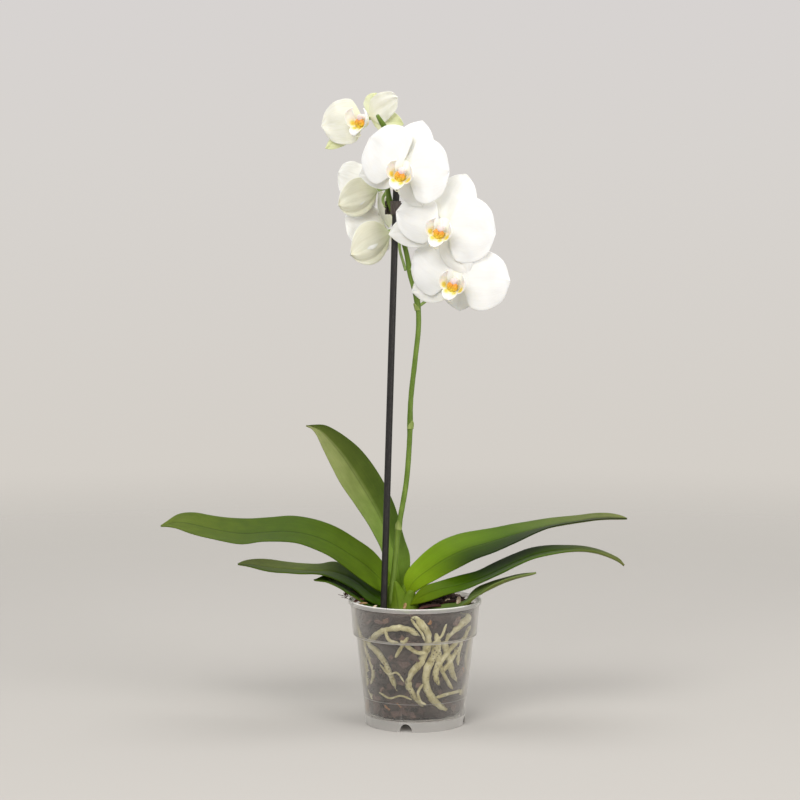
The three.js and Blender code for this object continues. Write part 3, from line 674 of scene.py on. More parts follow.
def frame_copy(node):
    bm = bmesh.new()
    bm.from_mesh(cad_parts[node].data)
    bmesh.ops.remove_doubles(bm, verts=bm.verts, dist=1e-6)
    return bm


def round_the_axis(turn):
    """A direction from the pot's axis, turned from the front towards the right."""
    return Vector((math.sin(turn), -math.cos(turn), 0))


def spin_round_the_axis(bm, steps, near):
    """Spins a profile of edges round the pot's axis and closes the seam, merging what is nearer than near."""
    bmesh.ops.spin(bm, geom=bm.verts[:] + bm.edges[:], cent=pot_axis, axis=(0, 0, 1), angle=FULL_TURN,
                   steps=steps, use_merge=True)
    bmesh.ops.remove_doubles(bm, verts=bm.verts, dist=near)
    bmesh.ops.recalc_face_normals(bm, faces=bm.faces)


outward = round_the_axis(math.radians(15))
bm = frame_copy("pot")
wall_finder = BVHTree.FromBMesh(bm)
across = outward.cross(Vector((0, 0, 1)))
cut = bmesh.ops.bisect_plane(bm, geom=bm.verts[:] + bm.edges[:] + bm.faces[:], plane_co=pot_axis,
                             plane_no=across)
kept = {v for v in cut["geom_cut"]
        if isinstance(v, bmesh.types.BMVert) and (v.co - pot_axis).dot(outward) > 0}
bmesh.ops.delete(bm, geom=[v for v in bm.verts if v not in kept], context="VERTS")
bmesh.ops.delete(bm, geom=bm.faces[:], context="FACES_ONLY")
bmesh.ops.remove_doubles(bm, verts=bm.verts, dist=0.05 * MM)
straight = [v for v in bm.verts if len(v.link_edges) == 2 and
            (v.link_edges[0].other_vert(v).co - v.co).angle(v.co - v.link_edges[1].other_vert(v).co) < 0.01]
bmesh.ops.dissolve_verts(bm, verts=straight)
corners = len(bm.verts)
bmesh.ops.bevel(bm, geom=bm.verts[:], offset=0.28 * MM, segments=2, profile=0.5, affect="VERTICES",
                material=-1)
spin_round_the_axis(bm, 144, 0.001 * MM)
pot = piece("clear_pot", bm, [clear_plastic], ["pot"])

print("pot profile corners", corners, "radius at the rim mm", round(pot.dimensions.x / 2 / MM, 1))

# %% Notches in the foot
bm = bmesh.new()
for i in range(NOTCHES):
    arch = bmesh.ops.create_cone(bm, cap_ends=True, segments=32, radius1=NOTCH_WIDTH / 2,
                                 radius2=NOTCH_WIDTH / 2, depth=12 * MM)
    stretch = Matrix.Diagonal((1, 2 * NOTCH_HEIGHT / NOTCH_WIDTH, 1, 1))
    lay = Matrix.Rotation(math.radians(90), 4, "X") @ stretch
    stand = Matrix.Translation(Vector((0, -FOOT_RADIUS, 0))) @ lay
    turn = Matrix.Rotation(NOTCH_TURN + i * FULL_TURN / NOTCHES, 4, "Z")
    bmesh.ops.transform(bm, verts=arch["verts"], matrix=Matrix.Translation(pot_axis) @ turn @ stand)
cutter = piece("notch_cutter", bm, [])
cutting = pot.modifiers.new("notches", "BOOLEAN")
cutting.operation, cutting.object, cutting.solver = "DIFFERENCE", cutter, "EXACT"
pot.data = evaluated_mesh(pot)
pot.modifiers.clear()
bpy.data.objects.remove(cutter)
pot.data.set_sharp_from_angle(angle=math.radians(50))
print("pot faces", len(pot.data.polygons), "notches", NOTCHES)

# %% [markdown]
# ## Roots, bark and mix
# Behind the clear wall lie thick roots with a silvery green skin, the velamen, over chips of bark and dark
# peat. The mix is a lumpy body spun from the inside of the pot's wall. Chips are many small blocks in one
# mesh, each with a tone of its own kept as an attribute. The roots start as a voxel remesh of the frame's
# roots, which melts the joints together, and noise makes them swell, pinch and bend.

# %% Bark and mix finishes
def bark_skin(name, tones, bumps, scale):
    made, tree = new_material(name)
    place = add(tree, "TexCoord").outputs["Object"]
    tone = add(tree, "Attribute", {"attribute_name": "tone"}).outputs["Fac"]
    grain = add(tree, "TexNoise", {"Scale": scale, "Detail": 6.0, "Roughness": 0.7}, {"Vector": place})
    shade = add(tree, "Math", {"operation": "MULTIPLY_ADD", 1: 0.5, 2: -0.25}, {0: grain})
    mixed = add(tree, "Math", {"operation": "ADD"}, {0: tone, 1: shade})
    colour = add(tree, "ValToRGB", {"stops": tones}, {"Fac": mixed})
    bump = add(tree, "Bump", {"Strength": 0.7, "Distance": bumps}, {"Height": grain})
    skin = add(tree, "BsdfPrincipled", {"Roughness": 0.9, "Specular IOR Level": 0.2},
               {"Base Color": colour, "Normal": bump})
    add(tree, "OutputMaterial", None, {"Surface": skin})
    return made


# damp composted bark: dark grey-brown with purplish and rusty pieces, grain about 1.5 mm
BARK = bark_skin("composted_bark",
                 [(0, "1c1614"), (0.25, "3a2d2a"), (0.5, "5c4a45"), (0.7, "77605a"), (0.85, "8f7460"),
                  (0.94, "b07a48"), (1, "c99a68")],
                 0.6 * MM, 650.0)
PEAT = bark_skin("damp_peat", [(0, "1a1514"), (0.5, "3b302d"), (1, "6a5a52")], 1.2 * MM, 320.0)
print("bark finishes 2")

# %% Mix
def wall_at(z):
    """Inner radius of the pot's wall at a height."""
    hit = wall_finder.ray_cast(pot_axis + Vector((0, 0, z)), outward)
    return (hit[0] - pot_axis - Vector((0, 0, z))).length


mix_low, mix_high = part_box("potting_mix")
MIX_DEPTH = 3.2 * MM  # from the wall to the peat; chips and roots lie between them
MIX_HEIGHT = 91.5 * MM
bm = frame_copy("stem_and_roots")
root_finder = BVHTree.FromBMesh(bm)
bm.free()
profile = [(0, mix_low.z + MM)]
profile += [(wall_at(z) - MIX_DEPTH, z) for z in [mix_low.z + (1 + 1.5 * k) * MM for k in range(60)]]
profile += [(profile[-1][0] * (1 - k / 24), mix_low.z + MIX_HEIGHT) for k in range(1, 25)]
bm = bmesh.new()
wires = [bm.verts.new(pot_axis + outward * r + Vector((0, 0, z))) for r, z in profile]
for a, b in zip(wires, wires[1:]):
    bm.edges.new((a, b))
spin_round_the_axis(bm, 180, 0.01 * MM)
bm.normal_update()
tone = bm.verts.layers.float.new("tone")
for vert in bm.verts:
    spot = vert.co / MM
    lump = noise.noise(spot * 0.13) * 1.6 + noise.noise(spot * 0.37) * 0.8
    cells = noise.voronoi(spot * 0.12)[0]
    top = 2.5 if vert.co.z > mix_low.z + 90 * MM else 0
    vert[tone] = 0.5 + 0.4 * noise.noise(spot * 0.09 + Vector((9, 0, 0)))
    near = root_finder.find_nearest(vert.co)[3] / MM
    rise = lump * 0.8 + (cells[1] - cells[0]) * 1.6 - 0.6 + top - 0.9 * max(0, 3.2 - near)
    vert.co += vert.normal * rise * MM
mix = piece("mix_body", bm, [PEAT], ["potting_mix"])
print("mix faces", len(mix.data.polygons), "radius at 60 mm", round(wall_at(60 * MM) / MM, 1))

# %% Bark chips
WALL_CHIPS, TOP_CHIPS, HEAP_CHIPS = 760, 420, 190
dice = random.Random(12)
bm = bmesh.new()
tone = bm.verts.layers.float.new("tone")


def chip(place, size, turn, value):
    """A block with uneven corners; size is in mm."""
    made = bmesh.ops.create_cube(bm, size=1)["verts"]
    for vert in made:
        vert.co = Vector((c * s * MM * dice.uniform(0.5, 1.15) for c, s in zip(vert.co, size)))
        vert[tone] = value + dice.uniform(-0.08, 0.08)
    bmesh.ops.transform(bm, verts=made, matrix=Matrix.Translation(place) @ turn)


def lying_chip(place, long, light):
    """A chip that lies on the mix, up to long mm in length and light in tone."""
    size = [dice.uniform(long - 8, long), dice.uniform(3, 7), dice.uniform(2, 4)]
    turn = Matrix.Rotation(dice.uniform(0, 6.3), 4, "Z") @ Matrix.Rotation(dice.uniform(-0.5, 0.5), 4, "Y")
    chip(place, size, turn, dice.uniform(0.1, light))


for i in range(WALL_CHIPS):
    z = mix_low.z + dice.uniform(3, 91) * MM
    angle = dice.uniform(-math.pi, math.pi)
    size = [dice.uniform(3, 11), dice.uniform(2, 4), dice.uniform(2.5, 7)]
    depth = (dice.uniform(1.3, 3.2) + size[1] / 2) * MM
    place = pot_axis + round_the_axis(angle) * (wall_at(z) - depth) + Vector((0, 0, z))
    near = root_finder.find_nearest(place)[3]
    if near < 3.4 * MM:
        size = [s * 0.5 for s in size]
        place -= round_the_axis(angle) * (4.2 * MM - 0.5 * near)
    turn = Matrix.Rotation(angle, 4, "Z") @ Matrix.Rotation(dice.uniform(-0.9, 0.9), 4, "Y")
    turn = turn @ Matrix.Rotation(dice.uniform(-0.3, 0.3), 4, "X")
    rusty = dice.random() > 0.965
    chip(place, size, turn, 0.95 if rusty else dice.uniform(0.05, 0.75))
for i in range(TOP_CHIPS):
    angle, out = dice.uniform(-math.pi, math.pi), 47 * math.sqrt(dice.random()) * MM
    place = pot_axis + round_the_axis(angle) * out
    heap = 4.5 * math.exp(-((place.x - pot_axis.x - 0.02) ** 2 + (place.y - 0.026) ** 2) / 0.0005)
    place.z = mix_high.z + (dice.uniform(-6.5, -3.5) + 0.6 * heap) * MM
    lying_chip(place, 12, 0.95)
for i in range(HEAP_CHIPS):
    # the heap under the right leaves; its chips are kept to darker tones, painted shade where the leaves hang
    # over it
    out, angle = math.sqrt(dice.random()), dice.uniform(-math.pi, math.pi)
    spot = Vector((26 + 26 * out * math.cos(angle), 6 + 26 * out * math.sin(angle), 0))
    spot.z = 103 + dice.uniform(0.1, 1) * 15 * (1 - out**2) ** 0.7
    if spot.xy.length > 53 or root_finder.find_nearest(pot_axis + spot * MM)[3] < 3 * MM:
        continue
    lying_chip(pot_axis + spot * MM, 13, 0.55)
chips = piece("bark_chips", bm, [BARK], smooth=False)
print("chip faces", len(chips.data.polygons))

# %% Root finish
velamen, tree = new_material("velamen_root_skin")
place = add(tree, "TexCoord").outputs["Object"]
mottle = add(tree, "TexNoise", {"Scale": 130.0, "Detail": 5.0, "Roughness": 0.62}, {"Vector": place})
skin_tone = add(tree, "ValToRGB",
                {"stops": [(0.28, "948a60"), (0.42, "c4bc8c"), (0.56, "dcd7ae"), (0.72, "efecd2")]},
                {"Fac": mottle})
# dark specks of about 1 mm
specks = add(tree, "TexVoronoi", {"Scale": 420.0, "Randomness": 1.0}, {"Vector": place})
few = add(tree, "TexNoise", {"Scale": 60.0, "Detail": 2.0}, {"Vector": place})
rim = add(tree, "MapRange", {"From Min": 0.2, "From Max": 0.34, "To Min": 1.0, "To Max": 0.0},
          {"Value": specks})
where = add(tree, "MapRange", {"From Min": 0.48, "From Max": 0.6}, {"Value": few})
dark = add(tree, "Math", {"operation": "MULTIPLY"}, {0: rim, 1: where})
speckled = add(tree, "Mix", {"data_type": "RGBA", 7: linear("4a4030")}, {0: dark, 6: skin_tone})
bump = add(tree, "Bump", {"Strength": 0.5, "Distance": 0.5 * MM}, {"Height": mottle})
skin = add(tree, "BsdfPrincipled", {"Roughness": 0.7, "Specular IOR Level": 0.3},
           {"Base Color": speckled.outputs[2], "Normal": bump})
add(tree, "OutputMaterial", None, {"Surface": skin})
print("root finish ready")

# %% Roots
bm = frame_copy("stem_and_roots")
mesh = bpy.data.meshes.new("raw_roots")
bm.to_mesh(mesh)
bm.free()
holder = bpy.data.objects.new("raw_roots", mesh)
scene.collection.objects.link(holder)
melt = holder.modifiers.new("melt", "REMESH")
melt.mode, melt.voxel_size = "VOXEL", 1.0 * MM
ease = holder.modifiers.new("ease", "SMOOTH")
ease.factor, ease.iterations = 0.5, 4
bm = bmesh.new()
bm.from_mesh(evaluated_mesh(holder))
bpy.data.objects.remove(holder)
bm.normal_update()
for vert in bm.verts:
    spot = vert.co / MM
    swell = 1.1 * noise.noise(spot * 0.11) + 0.55 * noise.noise(spot * 0.33) + 0.18 * noise.noise(spot * 0.9)
    vert.co += vert.normal * (swell + 0.75) * MM
bmesh.ops.smooth_vert(bm, verts=bm.verts, factor=0.3, use_axis_x=True, use_axis_y=True, use_axis_z=True)
roots = piece("roots_and_stem", bm, [velamen], ["stem_and_roots"])
print("root faces", len(roots.data.polygons))

# %% Rootlets
def wall_run(spots, radius, start=0.5, end=0.4, sink=0.5):
    """A rootlet along the wall: (degrees from the front, height in mm) spots, with tapered ends."""
    def along(t):
        degrees, height = spline([Vector(spot) for spot in spots], t)
        z = height * MM
        grow = min(1, start + t * 6, end + (1 - t) * 5)
        grow *= 1 + 0.22 * noise.noise(Vector((t * 9, spots[0][0], 0)))
        r = radius * grow * MM
        out = wall_at(z) - r - sink * MM
        return pot_axis + round_the_axis(math.radians(degrees)) * out + Vector((0, 0, z)), r

    return [along(k / 28) for k in range(29)]


ROOTLETS = [
    (1.7, [(-7, 87), (-12, 81), (-17, 74), (-21, 68)]),
    (2.2, [(57, 77), (48, 70), (39, 61), (31, 54)]),
    (1.9, [(27, 62), (31, 54), (38, 45), (46, 37)]),
    (1.6, [(24, 31), (42, 33), (56, 33), (70, 32)]),
    (1.1, [(-4, 104), (1, 97), (6, 91), (9, 84)]),
    (2.0, [(-14, 84), (-6, 77), (2, 73), (10, 72)]),
    (1.2, [(30, 98), (26, 88), (20, 84), (17, 78)]),
    (1.5, [(-75, 92), (-68, 84), (-66, 74), (-60, 62)]),
    (1.4, [(88, 88), (78, 80), (70, 66), (72, 52)]),
    (2.6, [(20, 90), (24, 78), (26, 66), (23, 52), (27, 42)]),
    (1.8, [(66, 92), (58, 84), (53, 70), (52, 58)]),
    (2.2, [(50, 80), (40, 74), (31, 66), (24, 56), (22, 47)]),
    (1.5, [(-30, 92), (-26, 84), (-16, 81)]),
    (1.6, [(-62, 68), (-56, 60), (-53, 50), (-58, 40)]),
    (1.3, [(8, 44), (3, 36), (6, 28), (12, 25)]),
    (0.9, [(-40, 60), (-30, 52), (-20, 54), (-12, 46)]),
    (0.9, [(-44, 34), (-30, 30), (-16, 33), (-4, 30)]),
    (2.1, [(120, 90), (112, 76), (118, 60), (108, 44)]),
    (1.9, [(172, 84), (190, 74), (196, 60), (186, 46)]),
    (1.9, [(-120, 84), (-108, 70), (-112, 54), (-100, 38)]),
]
bm = tube_bmesh([wall_run(spots, radius) for radius, spots in ROOTLETS], 10)
rootlets = piece("rootlets", bm, [velamen])
print("rootlet faces", len(rootlets.data.polygons))

# %% [markdown]
# ## Stake, spike and clip
# The stake is a dark plastic rod with a fine grain from its mould. The spike is green, a little swollen
# at its nodes, and each lower node wears a small dry bract. The clip is one moulded piece, so it keeps
# the frame's shape, with its edges rounded.

# %% Stalk finishes
def stalk_skin(name, stops, roughness, scale, bumps, specular=0.4):
    made, tree = new_material(name)
    place = add(tree, "TexCoord").outputs["Object"]
    stretch = add(tree, "Mapping", {"Scale": (1.0, 1.0, 0.22)}, {"Vector": place})
    streaks = add(tree, "TexNoise", {"Scale": scale, "Detail": 4.0}, {"Vector": stretch})
    colour = add(tree, "ValToRGB", {"stops": stops}, {"Fac": streaks})
    bump = add(tree, "Bump", {"Strength": 0.25, "Distance": bumps}, {"Height": streaks})
    skin = add(tree, "BsdfPrincipled", {"Roughness": roughness, "Specular IOR Level": specular},
               {"Base Color": colour, "Normal": bump})
    add(tree, "OutputMaterial", None, {"Surface": skin})
    return made


SPIKE_SKIN = stalk_skin("spike_skin", [(0.3, "59731f"), (0.55, "6c8630"), (0.75, "80983f")],
                        0.42, 260.0, 0.3 * MM)
PEDICEL_SKIN = stalk_skin("pedicel_skin", [(0.3, "8aa552"), (0.55, "a3ba6c"), (0.75, "bccb8c")],
                          0.45, 260.0, 0.2 * MM)
BRACT_SKIN = stalk_skin("dry_bract", [(0.3, "74883c"), (0.55, "93a458"), (0.75, "b2b87c")],
                        0.6, 420.0, 0.3 * MM)
STAKE_SKIN = stalk_skin("charcoal_plastic", [(0.3, "1b1918"), (0.55, "262322"), (0.75, "34302d")],
                        0.42, 900.0, 0.2 * MM)
CLIP_SKIN = stalk_skin("smoked_plastic", [(0.3, "443b38"), (0.6, "574d49"), (0.8, "6a605b")],
                       0.38, 500.0, 0.1 * MM)
print("stalk finishes 5")

# %% Stalks
def stalk_run(rings, steps, swell):
    centres = [middle(ring) for ring in rings]
    widths = [(ring[0] - c).length for ring, c in zip(rings, centres)]
    widths[0], widths[-1] = widths[1] * 0.7, widths[-2] * 0.7
    run = []
    for k in range(steps + 1):
        radius = spline(widths, k / steps) * (1 + swell * noise.noise(Vector((k * 0.4, 0, 0))))
        run.append((spline(centres, k / steps), radius))
    return run


STAKE_RADIUS = 3 * MM
spike_rings = rings_of("flower_spike", pot_axis)
bm = tube_bmesh([stalk_run(spike_rings, 180, 0.05)], 14)
spike = piece("spike", bm, [SPIKE_SKIN], ["flower_spike"])
stake_rings = rings_of("stake", pot_axis)
stake_ends = [middle(stake_rings[1]), middle(stake_rings[-2])]
rod = [(stake_ends[0].lerp(stake_ends[1], k / 60), STAKE_RADIUS * (1 if k else 0.45)) for k in range(61)]
bm = tube_bmesh([rod], 20)
piece("plant_stake", bm, [STAKE_SKIN], ["stake"])
bm = frame_copy("spike_clip")
bmesh.ops.dissolve_limit(bm, angle_limit=0.03, verts=bm.verts, edges=bm.edges)
sharp = [e for e in bm.edges if len(e.link_faces) == 2 and e.calc_face_angle(0) > 0.7]
bmesh.ops.bevel(bm, geom=sharp, offset=0.22 * MM, segments=2, profile=0.5, affect="EDGES", material=-1,
                clamp_overlap=True)
clip = piece("moulded_clip", bm, [CLIP_SKIN], ["spike_clip"])
clip.data.set_sharp_from_angle(angle=math.radians(40))
print("spike faces", len(spike.data.polygons), "clip faces", len(clip.data.polygons))

# %% [markdown]
# ## Lips and columns
# The lip is the third petal, made over into a landing place. Two side lobes stand up round the column,
# a narrow mid lobe points forward and ends in two tendrils, and between them sits a yellow callus with
# red dots. Above it is the column, white with a pink flush, with the round anther cap on its end. They
# are drawn in the flower's own millimetres and then laid into the scene.

# %% Lip finishes
def lip_skin(name, stops, spots):
    """Lip tissue coloured by its own tone attribute; the spots show where the red attribute is high."""
    made, tree = new_material(name)
    place = add(tree, "TexCoord").outputs["Object"]
    tone = add(tree, "Attribute", {"attribute_name": "tone"}).outputs["Fac"]
    cloud = add(tree, "TexNoise", {"Scale": 420.0, "Detail": 3.0}, {"Vector": place})
    drift = add(tree, "MapRange", {"To Min": -0.12, "To Max": 0.12}, {"Value": cloud})
    mixed = add(tree, "Math", {"operation": "ADD"}, {0: tone, 1: drift})
    colour = add(tree, "ValToRGB", {"stops": stops}, {"Fac": mixed})
    # red-brown dots 0.5 to 1 mm across
    red = add(tree, "Attribute", {"attribute_name": "red"}).outputs["Fac"]
    cells = add(tree, "TexVoronoi", {"Scale": 900.0}, {"Vector": place})
    dots = add(tree, "MapRange", {"From Min": 0.25, "From Max": 0.42, "To Min": spots, "To Max": 0.0},
               {"Value": cells})
    amount = add(tree, "Math", {"operation": "MULTIPLY"}, {0: dots, 1: red})
    dotted = add(tree, "Mix", {"data_type": "RGBA", 7: linear("a5532a")}, {0: amount, 6: colour})
    bump = add(tree, "Bump", {"Strength": 0.25, "Distance": 0.3 * MM}, {"Height": cloud})
    skin = add(tree, "BsdfPrincipled",
               {"Roughness": 0.42, "Specular IOR Level": 0.4, "Subsurface Weight": 0.3,
                "Subsurface Radius": (1.0, 0.7, 0.4), "Subsurface Scale": 1.2 * MM},
               {"Base Color": dotted.outputs[2], "Normal": bump})
    add(tree, "OutputMaterial", None, {"Surface": skin})
    return made


LIP_SKIN = lip_skin("lip_tissue",
                    [(0, "fdfbf7"), (0.28, "fbf6dc"), (0.5, "eee370"), (0.72, "f4d03c"), (1, "f6a63a")],
                    0.6)
COLUMN_SKIN = lip_skin("column_tissue", [(0, "fbf6f1"), (0.5, "f8ece6"), (1, "efdcdc")], 0.4)
HUB_SKIN = stalk_skin("tepal_joint", [(0.3, "f4f4e6"), (0.7, "fcfcf6")], 0.55, 400.0, 0.1 * MM, 0.3)
print("lip finishes 3")

# %% Lip shapes
LIP_STEPS = (26, 16)


def lobe(spine, widths, inward, cup):
    """place(i, j) on a lobe whose spine, half widths and inward direction are in the flower's own mm."""
    def place(i, j):
        t, v = i / LIP_STEPS[0], 2 * j / LIP_STEPS[1] - 1
        here, ahead = spline(spine, t), spline(spine, min(1, t + 0.02)) - spline(spine, max(0, t - 0.02))
        half = max(0.02, spline(widths, t))
        n = inward(here).normalized()
        side = ahead.cross(n).normalized()
        n = side.cross(ahead).normalized()
        return here + side * half * v + n * cup * half * v * v
    return place


print("lip grid", LIP_STEPS)

# %% Colours laid on the lips
def bump_at(spot, centre, reach):
    """A round patch, and its mirror image on the flower's other side."""
    return math.exp(-((Vector((abs(spot.x), spot.y, spot.z)) - Vector(centre)).length / reach) ** 2)


def paint(bm, own, yellow, red):
    """Writes the tone and red attributes from each corner's place in the flower's own millimetres."""
    layers = bm.verts.layers.float
    tone, dots = layers.new("tone"), layers.new("red")
    for vert in bm.verts:
        spot = own @ vert.co
        vert[tone], vert[dots] = yellow(spot), red(spot)


def lobe_yellow(spot):
    patch = bump_at(spot, (8.6, -6.0, 7.6), 4.0) * 0.66
    throat = bump_at(spot, (2.0, -5, 5), 3.6) * 0.9
    return min(1, max(patch, throat))


def lobe_red(spot):
    return min(1, 1.3 * bump_at(spot, (4.0, -5.0, 5.5), 3.4))


def mid_yellow(spot):
    throat = bump_at(spot, (0, -6.5, 6.5), 5.0) * 1.1
    shoulders = bump_at(spot, (4.2, -10.6, 10.6), 3.4) * 0.6
    return min(1, max(throat, shoulders))


def column_tone(spot):
    return min(1.0, 0.25 + 0.06 * max(0.0, spot.z) + 0.1 * max(0.0, -spot.y))


print("lip paints 4")

# %% Lip and column outlines
# spines and half widths from base to tip: X right, Y up and Z forward, in mm
SIDE_SPINE = [(2.2, -4.5, 2.5), (6, -6.5, 5.5), (9.6, -4.6, 8.5),
              (11, 0, 10.4), (9.6, 5, 11.6), (6.4, 8.6, 12)]
SIDE_WIDTHS = [2.4, 5.0, 5.8, 5.0, 3.6, 0.4]
MID_SPINE = [(0, -4.5, 3), (0, -8.2, 6), (0, -10, 9.4), (0, -11.8, 12.6), (0, -14, 15), (0, -16.2, 15.2)]
MID_WIDTHS = [3.0, 4.6, 6.0, 6.8, 5.0, 1.0]
TENDRIL = [(0.6, -15.8, 15.2), (2, -17, 14), (3.6, -16.8, 12.2), (4, -15.4, 11.2), (3.2, -14.4, 11.6)]
# the callus is three balls: centre and half sizes
CALLUS = [((-2.2, -4.6, 8.8), (2.6, 3.4, 2.6)), ((2.2, -4.6, 8.8), (2.6, 3.4, 2.6)),
          ((0, -7.2, 8), (2.6, 3, 2.4))]
SHAFT = [(0, 0, -1.2), (0, 0.1, 2), (0, 0, 5), (0, -0.5, 8.2)]
SHAFT_RADII = [2.4, 2.7, 3.1, 3.0]


def mirrored(points, sign=1):
    return [Vector((x * sign, y, z)) for x, y, z in points]


def ball(bm):
    return bmesh.ops.create_icosphere(bm, subdivisions=4, radius=1)["verts"]


def lobe_thickness(u, v):
    return 1 - 0.5 * abs(2 * v - 1) ** 2


print("tendril length mm",
      round(sum((Vector(b) - Vector(a)).length for a, b in zip(TENDRIL, TENDRIL[1:])), 1))

# %% Lips, columns and stalks
for number, name in enumerate(FLOWERS):
    centre, turn, stalk = blooms[name]
    own = turn.inverted()
    forward = turn.to_3x3() @ Vector((0, 0, 1))
    for sign, side in ((-1, "left"), (1, "right")):
        flat = lobe(mirrored(SIDE_SPINE, sign), SIDE_WIDTHS, lambda p: Vector((-p.x, -p.y, 7.0)), 0.4)
        seed = number * 3.3 + sign
        relief = lambda u, v: noise.noise(Vector((u * 5, v * 2, seed))) * 0.9 * MM * u
        inward = turn.to_3x3() @ Vector((-sign, 0, 0.2))
        bm = sheet_bmesh(lambda i, j: turn @ flat(i, j), *LIP_STEPS, inward, relief, lobe_thickness)
        paint(bm, own, lobe_yellow, lobe_red)
        made = piece(f"{name}_side_lobe_{side}", bm, [LIP_SKIN])
        thicken(made, 0.9 * MM)
    flat = lobe(mirrored(MID_SPINE), MID_WIDTHS, lambda p: Vector((0, 1, 0.3)), 0.35)
    relief = lambda u, v: noise.noise(Vector((u * 4, v * 2, number))) * 0.7 * MM * u
    inward = turn.to_3x3() @ Vector((0, 1, 0.5))
    bm = sheet_bmesh(lambda i, j: turn @ flat(i, j), *LIP_STEPS, inward, relief, lobe_thickness)
    paint(bm, own, mid_yellow, mid_yellow)
    thicken(piece(f"{name}_mid_lobe", bm, [LIP_SKIN], [f"{name}_lip"]), 1.1 * MM)

    runs = []
    for sign in (-1, 1):
        curl = mirrored(TENDRIL, sign)
        runs.append([(turn @ spline(curl, k / 20), (0.55 - 0.38 * k / 20) * MM) for k in range(21)])
    bm = tube_bmesh(runs)
    paint(bm, own, lambda spot: 0.25, lambda spot: 0.0)
    piece(f"{name}_tendrils", bm, [LIP_SKIN])

    bm = bmesh.new()
    for (x, y, z), (w, h, d) in CALLUS:
        for vert in ball(bm):
            spot = vert.co
            warp = 1 + 0.16 * noise.noise(spot * 1.8 + Vector((x, z, number)))
            vert.co = turn @ Vector((x + w * spot.x * warp, y + h * spot.y * warp, z + d * spot.z * warp))
    paint(bm, own, lambda spot: 0.8 + 0.25 * (spot.y + 6) / 4, lambda spot: 1.0)
    piece(f"{name}_callus", bm, [LIP_SKIN])

    # where the five tepals meet
    if name.startswith("front"):
        bm = bmesh.new()
        for vert in ball(bm):
            vert.co = turn @ Vector((7.5 * vert.co.x, 1 + 7.5 * vert.co.y, -1.6 + 1.2 * vert.co.z))
        piece(f"{name}_hub", bm, [HUB_SKIN])

    shaft = mirrored(SHAFT)
    run = [(turn @ spline(shaft, k / 24), spline(SHAFT_RADII, k / 24) * MM) for k in range(25)]
    bm = tube_bmesh([run], 18)
    for vert in ball(bm):
        spot = vert.co
        beak = 1.3 * max(0.0, -spot.y) ** 3
        groove = 1 - 0.14 * math.exp(-((spot.x / 0.18) ** 2)) * max(0.0, spot.z)
        high = 8.4 + 2.6 * spot.z * groove + beak * 0.4
        vert.co = turn @ Vector((3.3 * spot.x, 0.2 + 3.1 * spot.y * groove, high))
    paint(bm, own, column_tone, lambda spot: 0.0)
    piece(f"{name}_column_and_cap", bm, [COLUMN_SKIN], [f"{name}_column"])

    # the stalk behind the flower: the ovary is thicker and lightly ribbed, the rest is thin and green
    bends = [centre + forward * 0.5 * MM] + [middle(ring) for ring in stalk if (own @ middle(ring)).z < -1]
    bends.append(bends[-1] + (bends[-1] - bends[-2]).normalized() * 3.4 * MM)
    run = [(spline(bends, k / 60), (2.1 - 0.75 * min(1, k / 60 * 1.8)) * MM) for k in range(61)]
    piece(f"{name}_stalk", tube_bmesh([run], 12), [PEDICEL_SKIN])
    length = sum((b - a).length for a, b in zip(bends, bends[1:]))
    print(name, "lip lobes 3, stalk length mm", round(length / MM, 1))

# %% [markdown]
# ## Crown and dry scraps
# The leaf bases sheathe the short stem one inside the other, so no gap shows between them. Each node of
# the spike wears a small scale, and dry scraps lie on the mix at the rim.

# %% Sheaths round the stem
SHEATH_SKIN = leaf_skin("leaf_sheath", [(0, "8c9a48"), (0.3, "6f8a26"), (0.8, "64801a"), (1, "708a2c")],
                        0.06)


def sheath(name, foot, head, half_foot, half_head, forward, bulge):
    """A curved shield from foot to head (pot-axis millimetres), bulging towards forward."""
    foot, head, forward = Vector(foot), Vector(head), Vector(forward).normalized()
    side = (head - foot).cross(forward).normalized()

    def place(i, j):
        u, v = i / 24, 2 * j / 24 - 1
        half = half_foot + (half_head - half_foot) * u
        half *= (1 - u**4) ** 0.5 if u < 1 else 0.0
        swell = bulge * (1 - v * v) * (1 - 0.6 * u)
        return pot_axis + (foot.lerp(head, u) + side * (half + 0.02) * v + forward * swell) * MM

    relief = lambda u, v: noise.noise(Vector((u * 4, v * 3, head.x))) * 0.5 * MM
    bm = sheet_bmesh(place, 24, 24, forward, relief)
    thicken(piece(name, bm, [SHEATH_SKIN]), 1.6 * MM)


STEM_RADII = [9.5, 10, 10, 9.8, 9.6, 9.4, 9, 8.6, 8.2, 7.7, 7.2, 6.6, 6, 5.3, 4.6, 3.8, 3, 2.1, 1.2, 0.4]
bm = tube_bmesh([[(pot_axis + Vector((-10.5 + 0.05 * k, 0.6 - 0.05 * k, 98 + 1.5 * k)) * MM, r * MM)
                  for k, r in enumerate(STEM_RADII)]], 28)
uv = bm.loops.layers.uv.new("blade")
for face in bm.faces:
    for loop in face.loops:
        spot = loop.vert.co - pot_axis
        loop[uv].uv = (spot.z / MM / 30 - 3.3, math.atan2(spot.y, spot.x + 0.01) / 6.3 + 0.5)
piece("stem_sheaths", bm, [SHEATH_SKIN])
sheath("front_sheath", (-12.5, -9, 100), (-17.6, -7.5, 130), 12.5, 3.2, (-0.25, -1, 0.1), 6.5)
sheath("right_sheath", (-6, -12, 101), (-3.5, -10, 122), 10, 5.5, (0.35, -1, 0.1), 5.0)
sheath("left_sheath", (-20, -6, 100), (-24, -2, 125), 9, 4.5, (-0.7, -1, 0.1), 5.0)
print("sheaths 4")

# %% Scales on the spike
centres = [middle(ring) for ring in spike_rings]


